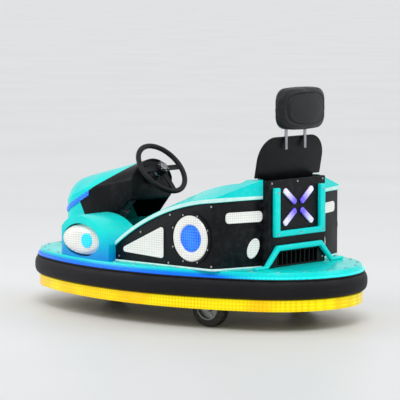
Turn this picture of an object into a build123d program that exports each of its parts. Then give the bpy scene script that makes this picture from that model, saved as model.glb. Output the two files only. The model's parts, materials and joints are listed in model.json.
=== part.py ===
from build123d import *
import math
import os

# A two-seat battery bumper kart in the style of a racing kart.
# Millimetres. The nose points along -Y, the kart's left is +X, up is +Z.
# The origin is on the floor under the middle of the bumper.
os.makedirs("parts", exist_ok=True)

# Clearances between pieces
seat_gap = 0.3
running_gap = 0.05

# Bumper, an oval of four arcs in plan
bumper_length = 1900
bumper_width = 1110
bumper_end_radius = 435
ring_depth = 85
ring_bottom = 155
ring_height = 95
strip_inset = 22
strip_width = 28
strip_height = 55
hoop_thickness = 6
hoop_lift = 5

# The ring's rounded outer face, columns: inset from the outline, share of the height
ring_outline = [(28, 0.0), (8, 0.1), (0, 0.32), (0, 0.68), (8, 0.9), (28, 1.0)]

# Chassis
frame_drop = 30
cross_width = 40
cross_height = 25
cross_axle_shifts = [-390, -140, 140]
cross_end_setback = 190
cross_drive_gap = 60
rail_spacing = 400
rail_width = 40
rail_height = 30
floor_thickness = 4
mat_width = 400
mat_thickness = 4
mat_pedal_gap = 65
mat_plinth_gap = 122
mat_corner = 20

# Tyres and wheels
tyre_radius = 100
tyre_width = 50
tyre_taper = 3
rim_radius = 68
rim_thickness = 8
hub_radius = 28
hub_length = 60
web_thickness = 10
axle_radius = 10
axle_overhang = 36
collar_radius = 20
collar_length = 10
bracket_length = 60
rear_axle_setback = 250
wheel_hoop_gap = 17
wheel_well_length = 250
wheel_well_width = 90

# Drive unit, placed behind the nose
drive_setback = 205
drive_hole_radius = 130
fork_inner_gap = 72
fork_plate = 8
fork_length = 50
fork_nut = 6
crown_length = 96
crown_depth = 80
crown_height = 12
crown_bottom = 208
race_radius = 45
race_height = 16
kingpin_radius = 15
kingpin_reach = 30
bridge_length = 230
bridge_width = 440
bridge_plate = 10
bridge_leg = 8

# Body deck
deck_inset = 20
deck_top_inset = 30
deck_height = 34
deck_wall = 5
cockpit_half_width = 250
cockpit_nose_gap = 75
cockpit_tail_gap = 30
cockpit_corner = 50

# Seat, placed from the tail panel
seat_half_width = 240
seat_setback = 600
seat_depth = 460
seat_base = 335
shell_thickness = 12
back_lean = 106
back_top = 900
back_low_half_width = 190
shoulder_round = 110
wing_thickness = 14
cushion_height = 72
cushion_half_width = 200
cushion_corner = 40
pad_thickness = 52
pad_margin = 8
pad_corner = 70
headrest_width = 364
headrest_height = 200
headrest_depth = 112
headrest_gap = 34
headrest_lean = 49
post_radius = 8
post_spacing = 140
post_overlap = 60
battery_length = 300
battery_width = 420
battery_height = 130
battery_shift = 222
plinth_wall = 6
plinth_gap = 4

# The seat's side wings, columns: distance behind the front edge, height above the base
wing_line = [(30, 0), (120, 60), (360, 130), (445, 250), (445, 0)]

# Side pods
pod_front = -110
pod_setback = 81
pod_seat_gap = 22
pod_tail_gap = 20
pod_step_shift = 5
pod_tail_x = 310
pod_tail_setback = 68
pod_tail_turn = 17
pod_corner = 28
pod_lip = 22
pod_recess = 6
panel_thickness = 8
pod_head_gap = 6

# The pods' top, columns: distance before the tail panel, heights of the outer shoulder and the inner ridge
pod_rise = [(430, 558, 620), (0, 632, 702)]
pod_front_rise = (381, 398)

# Side lamps and lenses
side_lamp_setback = 259
side_lamp_z = 430
side_lamp_radius = 110
side_core_radius = 64
side_bezel_radius = 125
bezel_height = 10
lamp_height = 14
lamp_slant = 30
lens_height = 6
lens_front_gap = 12
lens_lamp_gap = 176
lens_tip_z = 338
lens_top_z = 478
lens_foot_z = 322
lens_corner = 14
tail_bar_length = 205
tail_bar_width = 52
tail_bar_corner = 20
tail_bar_z = 530
marker_length = 100
marker_width = 62
marker_lean = 24
marker_z = 380
marker_shift = 52

# Tail
tail_setback = 310
tail_wall = 8
tail_top = 700
tail_return = 10
frame_depth = 24
frame_half_width = 187
frame_bar = 36
frame_bottom = 430
frame_top = 664
frame_sill = 28
band_half_width = 165
band_top = 390
band_height = 26
band_foot = 250
band_end = 330
band_foot_height = 16
band_slant = 12
cross_lamp_z = 568
cross_lamp_reach = 134
cross_lamp_start = 26
cross_lamp_width = 28
cross_lamp_height = 12
cross_lamp_turn = 38
grille_half_width = 150
grille_height = 62
grille_lift = 8
grille_depth = 22
grille_fin = 6
grille_fins = 9

# Nose
nose_setback = 195
nose_half_front = 130
nose_corner_x = 375
nose_length = 335
nose_front_top = 385
nose_rear_top = 425
nose_cavity_half_width = 130
nose_cavity_front = 70
nose_cavity_rear = 275
nose_cavity_corner = 30
nose_notch_half_width = 163
nose_notch_length = 85
nose_band_top = 365
nose_recess = 12
nose_grille_wall = 10
light_bar_height = 54
light_bar_depth = 9
light_bar_corner = 12
light_bar_z = 330
corner_bar_length = 240
centre_bar_length = 225

# Front fenders and their lamps
fender_gap = 3
fender_inset = 36
fender_inner = 275
fender_rear_top = 366
fender_peak_shift = 13.5
fender_peak = 492
front_lamp_shift = 23.5
front_lamp_z = 371
front_lamp_length = 290
front_lamp_height = 150
front_lamp_depth = 40
front_lamp_setback = 115
front_lamp_margin = 6
front_lamp_slant = 30
front_core_radius = 36
front_core_shift = 42
front_core_height = 5

# Fairing over the steering gear, columns: distance behind the nose, half width, shoulder and crown heights
fairing_line = [
    (10, 150, 520, 625),
    (65, 178, 545, 642),
    (200, 190, 600, 676),
    (335, 172, 622, 710),
    (455, 150, 642, 744),
]
fairing_wall = 8
fairing_rear_bottom = 560
fairing_lamp_z = 558
fairing_lamp_width = 190
fairing_lamp_height = 108
fairing_lamp_depth = 8
stripe_front = (8, 482)
stripe_rear = (200, 582)
stripe_width = 26
stripe_height = 6
dash_depth = 10
dash_inset = 6

# Steering
wheel_setback = 520
wheel_centre_z = 697
column_rise = 40
steering_wheel_radius = 140
grip_radius = 13
grip_sides = 10
spoke_width = 28
spoke_thickness = 8
steering_hub_radius = 34
steering_hub_length = 36
shaft_radius = 12
column_radius = 18
column_end_gap = 8
gearbox_radius = 44
gearbox_head_radius = 48
gearbox_head_height = 96
snout_radius = 34
snout_end = 78
shaft_start = 46

# Pedals
pedal_spacing = 230
pedal_setback = 370
pedal_width = 80
pedal_length = 130
pedal_thickness = 8
pedal_lean = 35
pedal_arm_width = 20
pedal_arm_length = 40
pedal_arm_height = 14

# Levels and lines that follow from the sizes above
half_length = bumper_length / 2
half_width = bumper_width / 2
end_centre = half_length - bumper_end_radius
side_bulge = half_width - bumper_end_radius
side_offset = (end_centre**2 - side_bulge**2) / (2 * side_bulge)
side_radius = half_width + side_offset
join_angle = math.atan2(end_centre, side_offset)
ring_top = ring_bottom + ring_height
strip_bottom = ring_bottom - strip_height
cross_bottom = ring_bottom - frame_drop
hoop_inset = ring_depth + seat_gap
frame_inset = hoop_inset + hoop_thickness
rail_bottom = cross_bottom + cross_height
rail_top = rail_bottom + rail_height
floor_top = rail_top + floor_thickness
deck_top = ring_top + seat_gap + deck_height
nose_front = nose_setback - half_length
nose_rear = nose_front + nose_length
nose_corner_y = nose_front + nose_corner_x - nose_half_front
nose_slope = (nose_rear_top - nose_front_top) / (nose_corner_y - nose_front)
tail_y = half_length - tail_setback
pod_line = [(pod_front, *pod_front_rise)] + [(tail_y - before, *heights) for before, *heights in pod_rise]
pod_tail_y = tail_y - pod_tail_setback
side_lamp_y = tail_y - side_lamp_setback
rear_axle_y = tail_y - rear_axle_setback
seat_front = tail_y - seat_setback
back_base_y = seat_front + seat_depth
back_top_y = back_base_y + back_lean
headrest_y = back_top_y + headrest_lean
battery_y = seat_front + battery_shift
plinth_front = battery_y - battery_length / 2 - plinth_gap - plinth_wall
pod_tail_step = back_base_y + pod_step_shift
fender_rear = pod_front - fender_gap
fender_middle = (nose_corner_y + fender_rear) / 2
fender_peak_y = fender_middle - fender_peak_shift
front_lamp_y = fender_middle - front_lamp_shift
drive_y = nose_front + drive_setback
pedal_y = nose_front + pedal_setback
wheel_centre_y = nose_front + wheel_setback
cross_front = drive_y + tyre_radius + cross_drive_gap + cross_width / 2
cross_end = half_length - cross_end_setback
axle_hoop_y = rear_axle_y + tyre_radius
hoop_face = math.sqrt(side_radius**2 - axle_hoop_y**2) - side_offset - frame_inset
rear_wheel_x = hoop_face - wheel_hoop_gap - tyre_width / 2
bridge_bottom = crown_bottom + crown_height + race_height
bridge_top = bridge_bottom + bridge_plate
column_turn = math.radians(column_rise)
column_length = (wheel_centre_y - drive_y) / math.cos(column_turn)
gearbox_z = wheel_centre_z - column_length * math.sin(column_turn)
pod_flank = half_width - pod_setback
pod_inner = seat_half_width + pod_seat_gap
pod_tail_inner = back_low_half_width + pod_tail_gap
pod_tail_slope = math.tan(math.radians(pod_tail_turn))
panel_face = pod_flank - pod_recess
back_step = pod_line[-1][2] + pod_head_gap
headrest_z = back_top + headrest_gap + headrest_height / 2


def prism(face, low, high):
    # an upright prism on a plan outline
    return extrude(Pos(0, 0, low) * face, amount=high - low, dir=(0, 0, 1))


def side_prism(face, low, high):
    # a prism across the kart on an outline drawn in (y, z)
    return extrude(Pos(low, 0, 0) * (Plane.YZ * face), amount=high - low, dir=(1, 0, 0))


def front_prism(face, low, high):
    # a prism along the kart on an outline drawn in (x, z)
    return extrude(Pos(0, low, 0) * (Plane.XZ * face), amount=high - low, dir=(0, 1, 0))


def polygon(*points):
    return make_face(Polyline(*points, close=True))


def rounded_polygon(points, radius):
    return make_face(FilletPolyline(*points, radius=radius, close=True))


def oval(inset):
    # the bumper's plan outline, moved inwards by a distance
    side = side_radius - inset
    join_x = side * math.cos(join_angle) - side_offset
    join_y = side * math.sin(join_angle)
    flank = half_width - inset
    tip = half_length - inset
    return make_face(
        [
            ThreePointArc((join_x, -join_y), (flank, 0), (join_x, join_y)),
            ThreePointArc((join_x, join_y), (0, tip), (-join_x, join_y)),
            ThreePointArc((-join_x, join_y), (-flank, 0), (-join_x, -join_y)),
            ThreePointArc((-join_x, -join_y), (0, -tip), (join_x, -join_y)),
        ]
    )


def block(x_range, y_range, z_range):
    ranges = [sorted(pair) for pair in (x_range, y_range, z_range)]
    size = [high - low for low, high in ranges]
    centre = [(high + low) / 2 for low, high in ranges]
    return Pos(*centre) * Box(*size)


def about(middle, length):
    # the two ends of a length centred on a place
    return (middle - length / 2, middle + length / 2)


def turned(outline, x, y, z):
    # a wheel-like solid turned about an axle along X; the outline holds (x, radius) points
    return Pos(x, y, z) * revolve(make_face(Polyline(*outline, close=True)), Axis.X, 360)


def axle_rod(reach, y):
    # a round bar across the kart at the height of the axles
    return turned([(-reach, 0), (-reach, axle_radius), (reach, axle_radius), (reach, 0)], 0, y, tyre_radius)


def left_and_right(shape):
    return [shape, mirror(shape, about=Plane.YZ)]


def along_column(distance):
    # a plane across the steering column, its normal towards the driver and its own Y pointing down
    y = drive_y + distance * math.cos(column_turn)
    z = gearbox_z + distance * math.sin(column_turn)
    uphill = (0, math.cos(column_turn), math.sin(column_turn))
    return Plane(origin=(0, y, z), x_dir=(1, 0, 0), z_dir=uphill)


def column_rod(radius, start, end):
    return along_column(start) * extrude(Circle(radius), amount=end - start)


def save(name, *shapes):
    solids = [solid for shape in shapes for solid in shape.solids()]
    export_step(Compound(solids), f"parts/{name}.step")


# Bumper
ring_sections = [Pos(0, 0, ring_bottom + share * ring_height) * oval(inset) for inset, share in ring_outline]
ring = loft(ring_sections, ruled=True) - prism(oval(ring_depth), ring_bottom, ring_top)
save("bumper_ring", ring)
strip = oval(strip_inset) - oval(strip_inset + strip_width)
save("underglow_strip", prism(strip, strip_bottom, ring_bottom))
hoop = oval(hoop_inset) - oval(frame_inset)
save("bumper_hoop", prism(hoop, cross_bottom + hoop_lift, deck_top - deck_wall))

# Chassis frame, two rails welded on cross members that end at the hoop
inside_hoop = oval(frame_inset)
half_rail = rail_spacing / 2
rail_blank = block(about(half_rail, rail_width), (-half_length, half_length), (rail_bottom, rail_top))
inside_low = prism(inside_hoop, cross_bottom, rail_bottom)
frame = None
for y in (-cross_end, cross_front, *[rear_axle_y + shift for shift in cross_axle_shifts], cross_end):
    bar = block((-half_width, half_width), about(y, cross_width), (cross_bottom, rail_bottom)) & inside_low
    frame = bar if frame is None else frame + bar
for rail in left_and_right(rail_blank & prism(inside_hoop, rail_bottom, rail_top)):
    frame += rail
save("chassis_frame", frame)


def wheel_well(side):
    x_range = about(side * rear_wheel_x, wheel_well_width)
    return block(x_range, about(rear_axle_y, wheel_well_length), (rail_top, floor_top))


floor_plate = prism(inside_hoop, rail_top, floor_top)
floor_plate -= prism(Pos(0, drive_y) * Circle(drive_hole_radius), rail_top, floor_top)
floor_plate -= wheel_well(1)
floor_plate -= wheel_well(-1)
save("floor_plate", floor_plate)
mat_front = pedal_y + mat_pedal_gap
mat_rear = plinth_front - mat_plinth_gap
mat = Pos(0, (mat_front + mat_rear) / 2) * RectangleRounded(mat_width, mat_rear - mat_front, mat_corner)
save("foot_mat", prism(mat, floor_top, floor_top + mat_thickness))

# Rear axle with the brackets that hang it under the rails
rear_axle = axle_rod(rear_wheel_x + axle_overhang, rear_axle_y)
for side in (-1, 1):
    bracket_x = about(side * half_rail, rail_width)
    bracket_z = (tyre_radius - 2 * axle_radius, rail_bottom)
    rear_axle += block(bracket_x, about(rear_axle_y, bracket_length), bracket_z)
    collar_x = side * (rear_wheel_x - (hub_length + collar_length) / 2 - seat_gap)
    collar = Pos(collar_x, rear_axle_y, tyre_radius) * Rot(0, 90, 0)
    rear_axle += collar * Cylinder(collar_radius, collar_length)
save("rear_axle", rear_axle)


# Wheels
def tyre(x, y):
    low = tyre_width / 2
    high = low - tyre_taper
    outline = [(-low, rim_radius), (-high, tyre_radius), (high, tyre_radius), (low, rim_radius)]
    return turned(outline, x, y, tyre_radius)


def wheel(x, y):
    bore = axle_radius + running_gap
    rim_inner = rim_radius - rim_thickness
    half_outline = [
        (hub_length / 2, bore),
        (hub_length / 2, hub_radius),
        (web_thickness / 2, hub_radius),
        (web_thickness / 2, rim_inner),
        (tyre_width / 2, rim_inner),
        (tyre_width / 2, rim_radius),
    ]
    outline = half_outline + [(-along, radius) for along, radius in reversed(half_outline)]
    return turned(outline, x, y, tyre_radius)


for name, side in (("left", 1), ("right", -1)):
    save(f"rear_tyre_{name}", tyre(side * rear_wheel_x, rear_axle_y))
    save(f"rear_wheel_{name}", wheel(side * rear_wheel_x, rear_axle_y))
save("drive_tyre", tyre(0, drive_y))
save("drive_wheel", wheel(0, drive_y))

# Drive fork, turning on its kingpin
crown_top = crown_bottom + crown_height
fork = block(about(0, crown_length), about(drive_y, crown_depth), (crown_bottom, crown_top))
fork_face = fork_inner_gap / 2
for side in (-1, 1):
    plate_x = (side * fork_face, side * (fork_face + fork_plate))
    fork += block(plate_x, about(drive_y, fork_length), (tyre_radius - 2 * axle_radius, crown_bottom))
fork += axle_rod(fork_face + fork_plate + fork_nut, drive_y)
race_top = bridge_bottom - seat_gap
fork += prism(Pos(0, drive_y) * Circle(race_radius), crown_top, race_top)
fork += prism(Pos(0, drive_y) * Circle(kingpin_radius), race_top, bridge_top + kingpin_reach - seat_gap)
save("drive_fork", fork)

# Bridge that carries the drive unit between the rails
kingpin_bore = Pos(0, drive_y) * Circle(kingpin_radius + running_gap)
bridge_y = about(drive_y, bridge_length)
bridge = block(about(0, bridge_width), bridge_y, (bridge_bottom, bridge_top))
for side in (-1, 1):
    leg_x = (side * bridge_width / 2, side * (bridge_width / 2 - bridge_leg))
    bridge += block(leg_x, bridge_y, (floor_top, bridge_bottom))
bridge -= prism(kingpin_bore, bridge_bottom, bridge_top)
save("drive_bridge", bridge)

# Steering gearbox with the column tube that rises from it
hub_start = column_length - steering_hub_length / 2
column_end = hub_start - column_end_gap
gearbox = prism(Pos(0, drive_y) * Circle(gearbox_radius), bridge_top, gearbox_z - gearbox_head_height / 2)
gearbox += Pos(0, drive_y, gearbox_z) * Cylinder(gearbox_head_radius, gearbox_head_height)
gearbox += column_rod(snout_radius, 0, snout_end)
gearbox += column_rod(column_radius, snout_end, column_end)
gearbox -= prism(kingpin_bore, bridge_top, bridge_top + kingpin_reach)
gearbox -= column_rod(shaft_radius + running_gap, shaft_start - seat_gap, column_end)
save("steering_column", gearbox)
save("steering_shaft", column_rod(shaft_radius, shaft_start, column_length))

# Steering wheel, its third spoke pointing down
grip = Plane.XZ * Pos(steering_wheel_radius, 0) * RegularPolygon(grip_radius, grip_sides)
rim = revolve(grip, Axis.Z, 360)
spoke = Pos(steering_wheel_radius / 2, 0, 0) * Box(steering_wheel_radius, spoke_width, spoke_thickness)
for turn in (0, 90, 180):
    rim += Rot(0, 0, turn) * spoke
steering_wheel = along_column(column_length) * rim
steering_wheel += column_rod(steering_hub_radius, hub_start, hub_start + steering_hub_length)
steering_wheel -= column_rod(shaft_radius + running_gap, hub_start, column_length + seat_gap)
save("steering_wheel", steering_wheel)


def nose_plan(inset):
    # the nose's outline on the deck, its corners cut back at 45 degrees
    corner_share = math.tan(math.radians(45) / 2)
    front = nose_front + inset
    shoulder = nose_half_front - inset * corner_share
    side_x = nose_corner_x - inset
    side_y = nose_corner_y + inset * corner_share
    right = [(side_x, nose_rear), (side_x, side_y), (shoulder, front)]
    return polygon(*right, *[(-x, y) for x, y in reversed(right)])


# Body deck, a tray lid that sits on the ring and the hoop
deck_low = ring_top + seat_gap
deck = loft([Pos(0, 0, deck_low) * oval(deck_inset), Pos(0, 0, deck_top) * oval(deck_top_inset)], ruled=True)
hollow_low = Pos(0, 0, deck_low) * oval(deck_inset + deck_wall)
hollow_high = Pos(0, 0, deck_top - deck_wall) * oval(deck_top_inset + deck_wall)
cockpit_front = nose_front + cockpit_nose_gap
cockpit_rear = tail_y - cockpit_tail_gap
cockpit = Pos(0, (cockpit_front + cockpit_rear) / 2)
cockpit *= RectangleRounded(2 * cockpit_half_width, cockpit_rear - cockpit_front, cockpit_corner)
well = prism(cockpit, deck_low, deck_top)
before_shoulders = block((-half_width, half_width), (-half_length, nose_corner_y), (deck_low, deck_top))
well -= before_shoulders - prism(nose_plan(nose_recess + nose_grille_wall), deck_low, deck_top)
deck = deck - loft([hollow_low, hollow_high], ruled=True) - well
save("body_deck", deck)


# Side pods: a ruled top between a low shoulder outside and a high ridge inside
def pod_profile(column, drop):
    (y0, *z0), (y1, *z1), (y2, *z2) = pod_line
    front, middle, rear = (z[column] - drop for z in (z0, z1, z2))
    return make_face(
        [
            Line((y0, deck_top), (y2, deck_top)),
            Line((y2, deck_top), (y2, rear)),
            ThreePointArc((y2, rear), (y1, middle), (y0, front)),
            Line((y0, front), (y0, deck_top)),
        ]
    )


def pod_plan(inset):
    flank = pod_flank - inset
    tail_shift = inset / math.cos(math.radians(pod_tail_turn))
    corner_y = pod_tail_y - tail_shift - (flank - pod_tail_x) * pod_tail_slope
    inner_y = pod_tail_y - tail_shift + (pod_tail_x - pod_tail_inner) * pod_tail_slope
    outline = polygon(
        (pod_inner, pod_front),
        (flank, pod_front),
        (flank, corner_y),
        (pod_tail_inner, inner_y),
        (pod_tail_inner, pod_tail_step),
        (pod_inner, pod_tail_step),
    )
    corner = outline.vertices().sort_by_distance((flank, corner_y, 0))[0]
    return fillet(corner, pod_corner - inset)


def panel_block(inset):
    # what lies below the outer shoulder's lip, level across the kart
    return side_prism(pod_profile(0, pod_lip), 0, pod_flank) & prism(pod_plan(inset), deck_top, bumper_length)


pod_outside = Pos(pod_flank, 0, 0) * (Plane.YZ * pod_profile(0, 0))
pod_inside = Pos(pod_tail_inner, 0, 0) * (Plane.YZ * pod_profile(1, 0))
pod_body = loft([pod_inside, pod_outside], ruled=True) & prism(pod_plan(0), deck_top, bumper_length)
pod_core = panel_block(pod_recess + panel_thickness)
save("side_pods", *left_and_right(pod_body - (panel_block(0) - pod_core)))
lamp_place = Pos(panel_face, side_lamp_y, side_lamp_z) * Rot(0, 90, 0)
bezel = Circle(side_bezel_radius) - Circle(side_lamp_radius + seat_gap)
side_panel = panel_block(pod_recess) - pod_core + lamp_place * extrude(bezel, amount=bezel_height)
save("side_panels", *left_and_right(side_panel))

# Side lamps, each a white ring round a blue core, and the white lenses in front of them
lamp_ring = Circle(side_lamp_radius) - Circle(side_core_radius + seat_gap)
save("side_lamp_rings", *left_and_right(lamp_place * extrude(lamp_ring, amount=lamp_height)))
lamp_core = lamp_place * extrude(Circle(side_core_radius), amount=lamp_height, taper=lamp_slant)
save("side_lamp_cores", *left_and_right(lamp_core))
lens_rear = side_lamp_y - lens_lamp_gap
lens_corners = [(pod_front + lens_front_gap, lens_tip_z), (lens_rear, lens_top_z), (lens_rear, lens_foot_z)]
lens = rounded_polygon(lens_corners, lens_corner)
save("side_lenses", *left_and_right(side_prism(lens, panel_face, panel_face + lens_height)))


def tail_plane(along, z):
    # a plane on the pod's black tail panel, a distance outwards from its middle
    turn = math.radians(pod_tail_turn)
    x = pod_tail_x + along * math.cos(turn) - pod_recess * math.sin(turn)
    y = pod_tail_y - along * math.sin(turn) - pod_recess * math.cos(turn)
    outwards = (math.sin(turn), math.cos(turn), 0)
    return Plane(origin=(x, y, z), x_dir=(-outwards[1], outwards[0], 0), z_dir=outwards)


# Tail lamps, a bar and a leaning oval marker on each side
tail_bar = RectangleRounded(tail_bar_length, tail_bar_width, tail_bar_corner)
tail_bar = tail_plane(0, tail_bar_z) * extrude(tail_bar, amount=lens_height)
marker = extrude(Ellipse(marker_width / 2, marker_length / 2), amount=lens_height)
marker = tail_plane(-marker_shift, marker_z) * Rot(0, 0, -marker_lean) * marker
save("tail_lamps", *left_and_right(tail_bar), *left_and_right(marker))

# Tail panel between the pods, with a slot for the grille
tail_half_width = pod_tail_inner - seat_gap
tail_panel = block((-tail_half_width, tail_half_width), (tail_y - tail_wall, tail_y), (deck_top, tail_top))
for side in (-1, 1):
    return_x = (side * tail_half_width, side * (tail_half_width - tail_wall))
    tail_panel += block(return_x, (pod_tail_y - tail_return, tail_y), (deck_top, tail_top))
grille_low = deck_top + grille_lift
grille_high = grille_low + grille_height
grille_width = (-grille_half_width, grille_half_width)
save("rear_panel", tail_panel - block(grille_width, (tail_y - tail_wall, tail_y), (grille_low, grille_high)))

# Body-coloured frame round the cross lamp, and the band under it
inner_half_width = frame_half_width - frame_bar
upright_frame = Pos(0, (frame_bottom + frame_top) / 2)
upright_frame *= Rectangle(2 * frame_half_width, frame_top - frame_bottom)
inner_low = frame_bottom + frame_sill
upright_frame -= Pos(0, (inner_low + frame_top) / 2) * Rectangle(2 * inner_half_width, frame_top - inner_low)
foot_top = deck_top + band_foot_height
band_right = [
    (band_half_width, band_top),
    (band_foot, foot_top),
    (band_end, foot_top),
    (band_end, deck_top),
    (band_foot - band_slant, deck_top),
    (band_half_width - band_slant, band_top - band_height),
]
band = polygon(*band_right, *[(-x, z) for x, z in reversed(band_right)])
frame_pieces = [front_prism(outline, tail_y, tail_y + frame_depth) for outline in (upright_frame, band)]
save("rear_frame", *frame_pieces)

# Cross lamp of four arms, and the grille's fins behind the tail panel
arm_length = cross_lamp_reach - cross_lamp_start
arm = Pos(cross_lamp_start + arm_length / 2, 0)
arm *= RectangleRounded(arm_length, cross_lamp_width, cross_lamp_width / 3)
arms = []
for turn in (cross_lamp_turn, 180 - cross_lamp_turn, 180 + cross_lamp_turn, -cross_lamp_turn):
    arms.append(front_prism(Pos(0, cross_lamp_z) * Rot(0, 0, turn) * arm, tail_y, tail_y + cross_lamp_height))
save("cross_lamp", *arms)
fin_y = (tail_y - tail_wall - grille_depth, tail_y - tail_wall)
fins = block(grille_width, fin_y, (deck_top, grille_low))
for index in range(grille_fins):
    fin_x = (index - (grille_fins - 1) / 2) * 2 * grille_half_width / grille_fins
    fins += block(about(fin_x, grille_fin), fin_y, (grille_low, grille_high))
save("rear_grille", fins)


# Nose
def nose_top(y):
    return nose_front_top + (y - nose_front) * nose_slope


nose_profile = polygon(
    (nose_front, deck_top),
    (nose_rear, deck_top),
    (nose_rear, nose_top(nose_rear)),
    (nose_front, nose_front_top),
)
nose = side_prism(nose_profile, -nose_corner_x, nose_corner_x) & prism(nose_plan(0), deck_top, bumper_length)
cavity_length = nose_cavity_rear - nose_cavity_front
cavity = Pos(0, nose_front + nose_cavity_front + cavity_length / 2)
cavity *= RectangleRounded(2 * nose_cavity_half_width, cavity_length, nose_cavity_corner)
nose -= prism(cavity, deck_top, bumper_length)
notch_x = (-nose_notch_half_width, nose_notch_half_width)
nose -= block(notch_x, (nose_rear - nose_notch_length, nose_rear), (deck_top, bumper_length))
nose -= prism(nose_plan(0) - nose_plan(nose_recess + nose_grille_wall), deck_top, nose_band_top)
for side in (-1, 1):
    fender_x = (side * fender_inner, side * half_width)
    nose -= block(fender_x, (nose_corner_y, nose_rear), (deck_top, bumper_length))
save("nose_panel", nose)
grille_wall = nose_plan(nose_recess) - nose_plan(nose_recess + nose_grille_wall)
before_fenders = block((-half_width, half_width), (-half_length, nose_corner_y - seat_gap), (0, half_length))
save("nose_grille", prism(grille_wall, deck_top, nose_band_top) & before_fenders)

# Light bars on the nose grille, one in the middle and one on each cut corner
light_bar_range = about(light_bar_z, light_bar_height)
bar_face = nose_front + nose_recess
bars = [block(about(0, centre_bar_length), (bar_face - light_bar_depth, bar_face), light_bar_range)]
corner_way = Vector(math.sin(math.radians(45)), -math.cos(math.radians(45)), 0)
corner_middle = Vector((nose_half_front + nose_corner_x) / 2, (nose_front + nose_corner_y) / 2, light_bar_z)
corner_spot = corner_middle - corner_way * nose_recess
corner_plane = Plane(origin=corner_spot, x_dir=(-corner_way.Y, corner_way.X, 0), z_dir=corner_way)
corner_bar = RectangleRounded(corner_bar_length, light_bar_height, light_bar_corner)
bars += left_and_right(corner_plane * extrude(corner_bar, amount=light_bar_depth))
save("front_light_bars", *bars)

# Front fenders with oval lamps in their flanks
fender_front = (nose_corner_y, nose_rear_top)
fender_profile = make_face(
    [
        Line((nose_corner_y, deck_top), (fender_rear, deck_top)),
        Line((fender_rear, deck_top), (fender_rear, fender_rear_top)),
        ThreePointArc((fender_rear, fender_rear_top), (fender_peak_y, fender_peak), fender_front),
        Line(fender_front, (nose_corner_y, deck_top)),
    ]
)
fender_plan = prism(oval(fender_inset), deck_top, bumper_length)
fender = side_prism(fender_profile, fender_inner, half_width) & fender_plan
lamp_back = half_width - front_lamp_setback
lamp_half_length = front_lamp_length / 2
lamp_half_height = front_lamp_height / 2
recess = Ellipse(lamp_half_length + front_lamp_margin, lamp_half_height + front_lamp_margin)
fender -= side_prism(Pos(front_lamp_y, front_lamp_z) * recess, lamp_back, half_width)
save("front_fenders", *left_and_right(fender))
lamp_face = Plane(origin=(lamp_back, front_lamp_y, front_lamp_z), x_dir=(0, 1, 0), z_dir=(1, 0, 0))
lamp_outline = Ellipse(lamp_half_length, lamp_half_height)
front_lamp = lamp_face * extrude(lamp_outline, amount=front_lamp_depth, taper=front_lamp_slant)
save("front_lamps", *left_and_right(front_lamp))
front_core = extrude(Circle(front_core_radius), amount=front_core_height)
front_core = Pos(front_core_shift, 0, front_lamp_depth) * front_core
save("front_lamp_cores", *left_and_right(lamp_face * front_core))


# Fairing, an arched shell over the steering gear
def fairing_section(y, half, bottom, shoulder, crown):
    outline = make_face(
        [
            Line((-half, bottom), (half, bottom)),
            Line((half, bottom), (half, shoulder)),
            ThreePointArc((half, shoulder), (0, crown), (-half, shoulder)),
            Line((-half, shoulder), (-half, bottom)),
        ]
    )
    return Pos(0, y, 0) * (Plane.XZ * outline)


def fairing_block(inset, front_shift, rear_shift, bottom_drop):
    sections = []
    last = len(fairing_line) - 1
    for index, (behind, half, shoulder, crown) in enumerate(fairing_line):
        y = nose_front + behind
        bottom = fairing_rear_bottom if index == last else nose_top(y)
        shift = front_shift if index == 0 else rear_shift if index == last else 0
        heights = (bottom - bottom_drop, shoulder - inset, crown - inset)
        sections.append(fairing_section(y + shift, half - inset, *heights))
    return loft(sections, ruled=True)


fairing_solid = fairing_block(0, 0, 0, 0)
fairing_hollow = fairing_block(fairing_wall, fairing_wall, fairing_wall, fairing_wall)
save("fairing", fairing_solid - fairing_hollow)
fairing_face = nose_front + fairing_line[0][0]
lamp_disc = Pos(0, fairing_lamp_z) * Ellipse(fairing_lamp_width / 2, fairing_lamp_height / 2)
save("fairing_lamp", front_prism(lamp_disc, fairing_face - fairing_lamp_depth, fairing_face))

# Light stripes that hug the fairing's front edges
stripe_skin = fairing_block(-stripe_height, 0, 0, 0) - fairing_solid
stripe_band = polygon(
    (nose_front + stripe_front[0], stripe_front[1]),
    (nose_front + stripe_rear[0], stripe_rear[1]),
    (nose_front + stripe_rear[0], stripe_rear[1] - stripe_width),
    (nose_front + stripe_front[0], stripe_front[1] - stripe_width),
)
save("fairing_stripes", *left_and_right(side_prism(stripe_band, 0, half_width) & stripe_skin))

# Dash panel that closes the fairing's rear round the column
fairing_rear = nose_front + fairing_line[-1][0]
dash = fairing_block(fairing_wall + seat_gap, 0, fairing_wall, 0)
dash_y = (fairing_rear - dash_inset - dash_depth, fairing_rear - dash_inset)
dash &= block((-half_width, half_width), dash_y, (0, back_top))
dash -= column_rod(column_radius + seat_gap, snout_end, column_end)
save("dash_panel", dash)

# Seat plinth over the battery
inner_x = battery_width / 2 + plinth_gap
inner_y = battery_length / 2 + plinth_gap
outer_x = inner_x + plinth_wall
plinth_rear = 2 * battery_y - plinth_front
plinth = block((-outer_x, outer_x), (plinth_front, plinth_rear), (floor_top, seat_base))
plinth -= block((-inner_x, inner_x), about(battery_y, 2 * inner_y), (floor_top, seat_base - plinth_wall))
save("seat_plinth", plinth)
battery_z = (floor_top, floor_top + battery_height)
save("battery_box", block(about(0, battery_width), about(battery_y, battery_length), battery_z))


# Seat shell, a base and a reclined back that widens above the pods
def back_line(y_shift, low, high):
    slope = (back_top_y - back_base_y) / (back_top - seat_base)
    return [(back_base_y + y_shift + (z - seat_base) * slope, z) for z in (low, high)]


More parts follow.
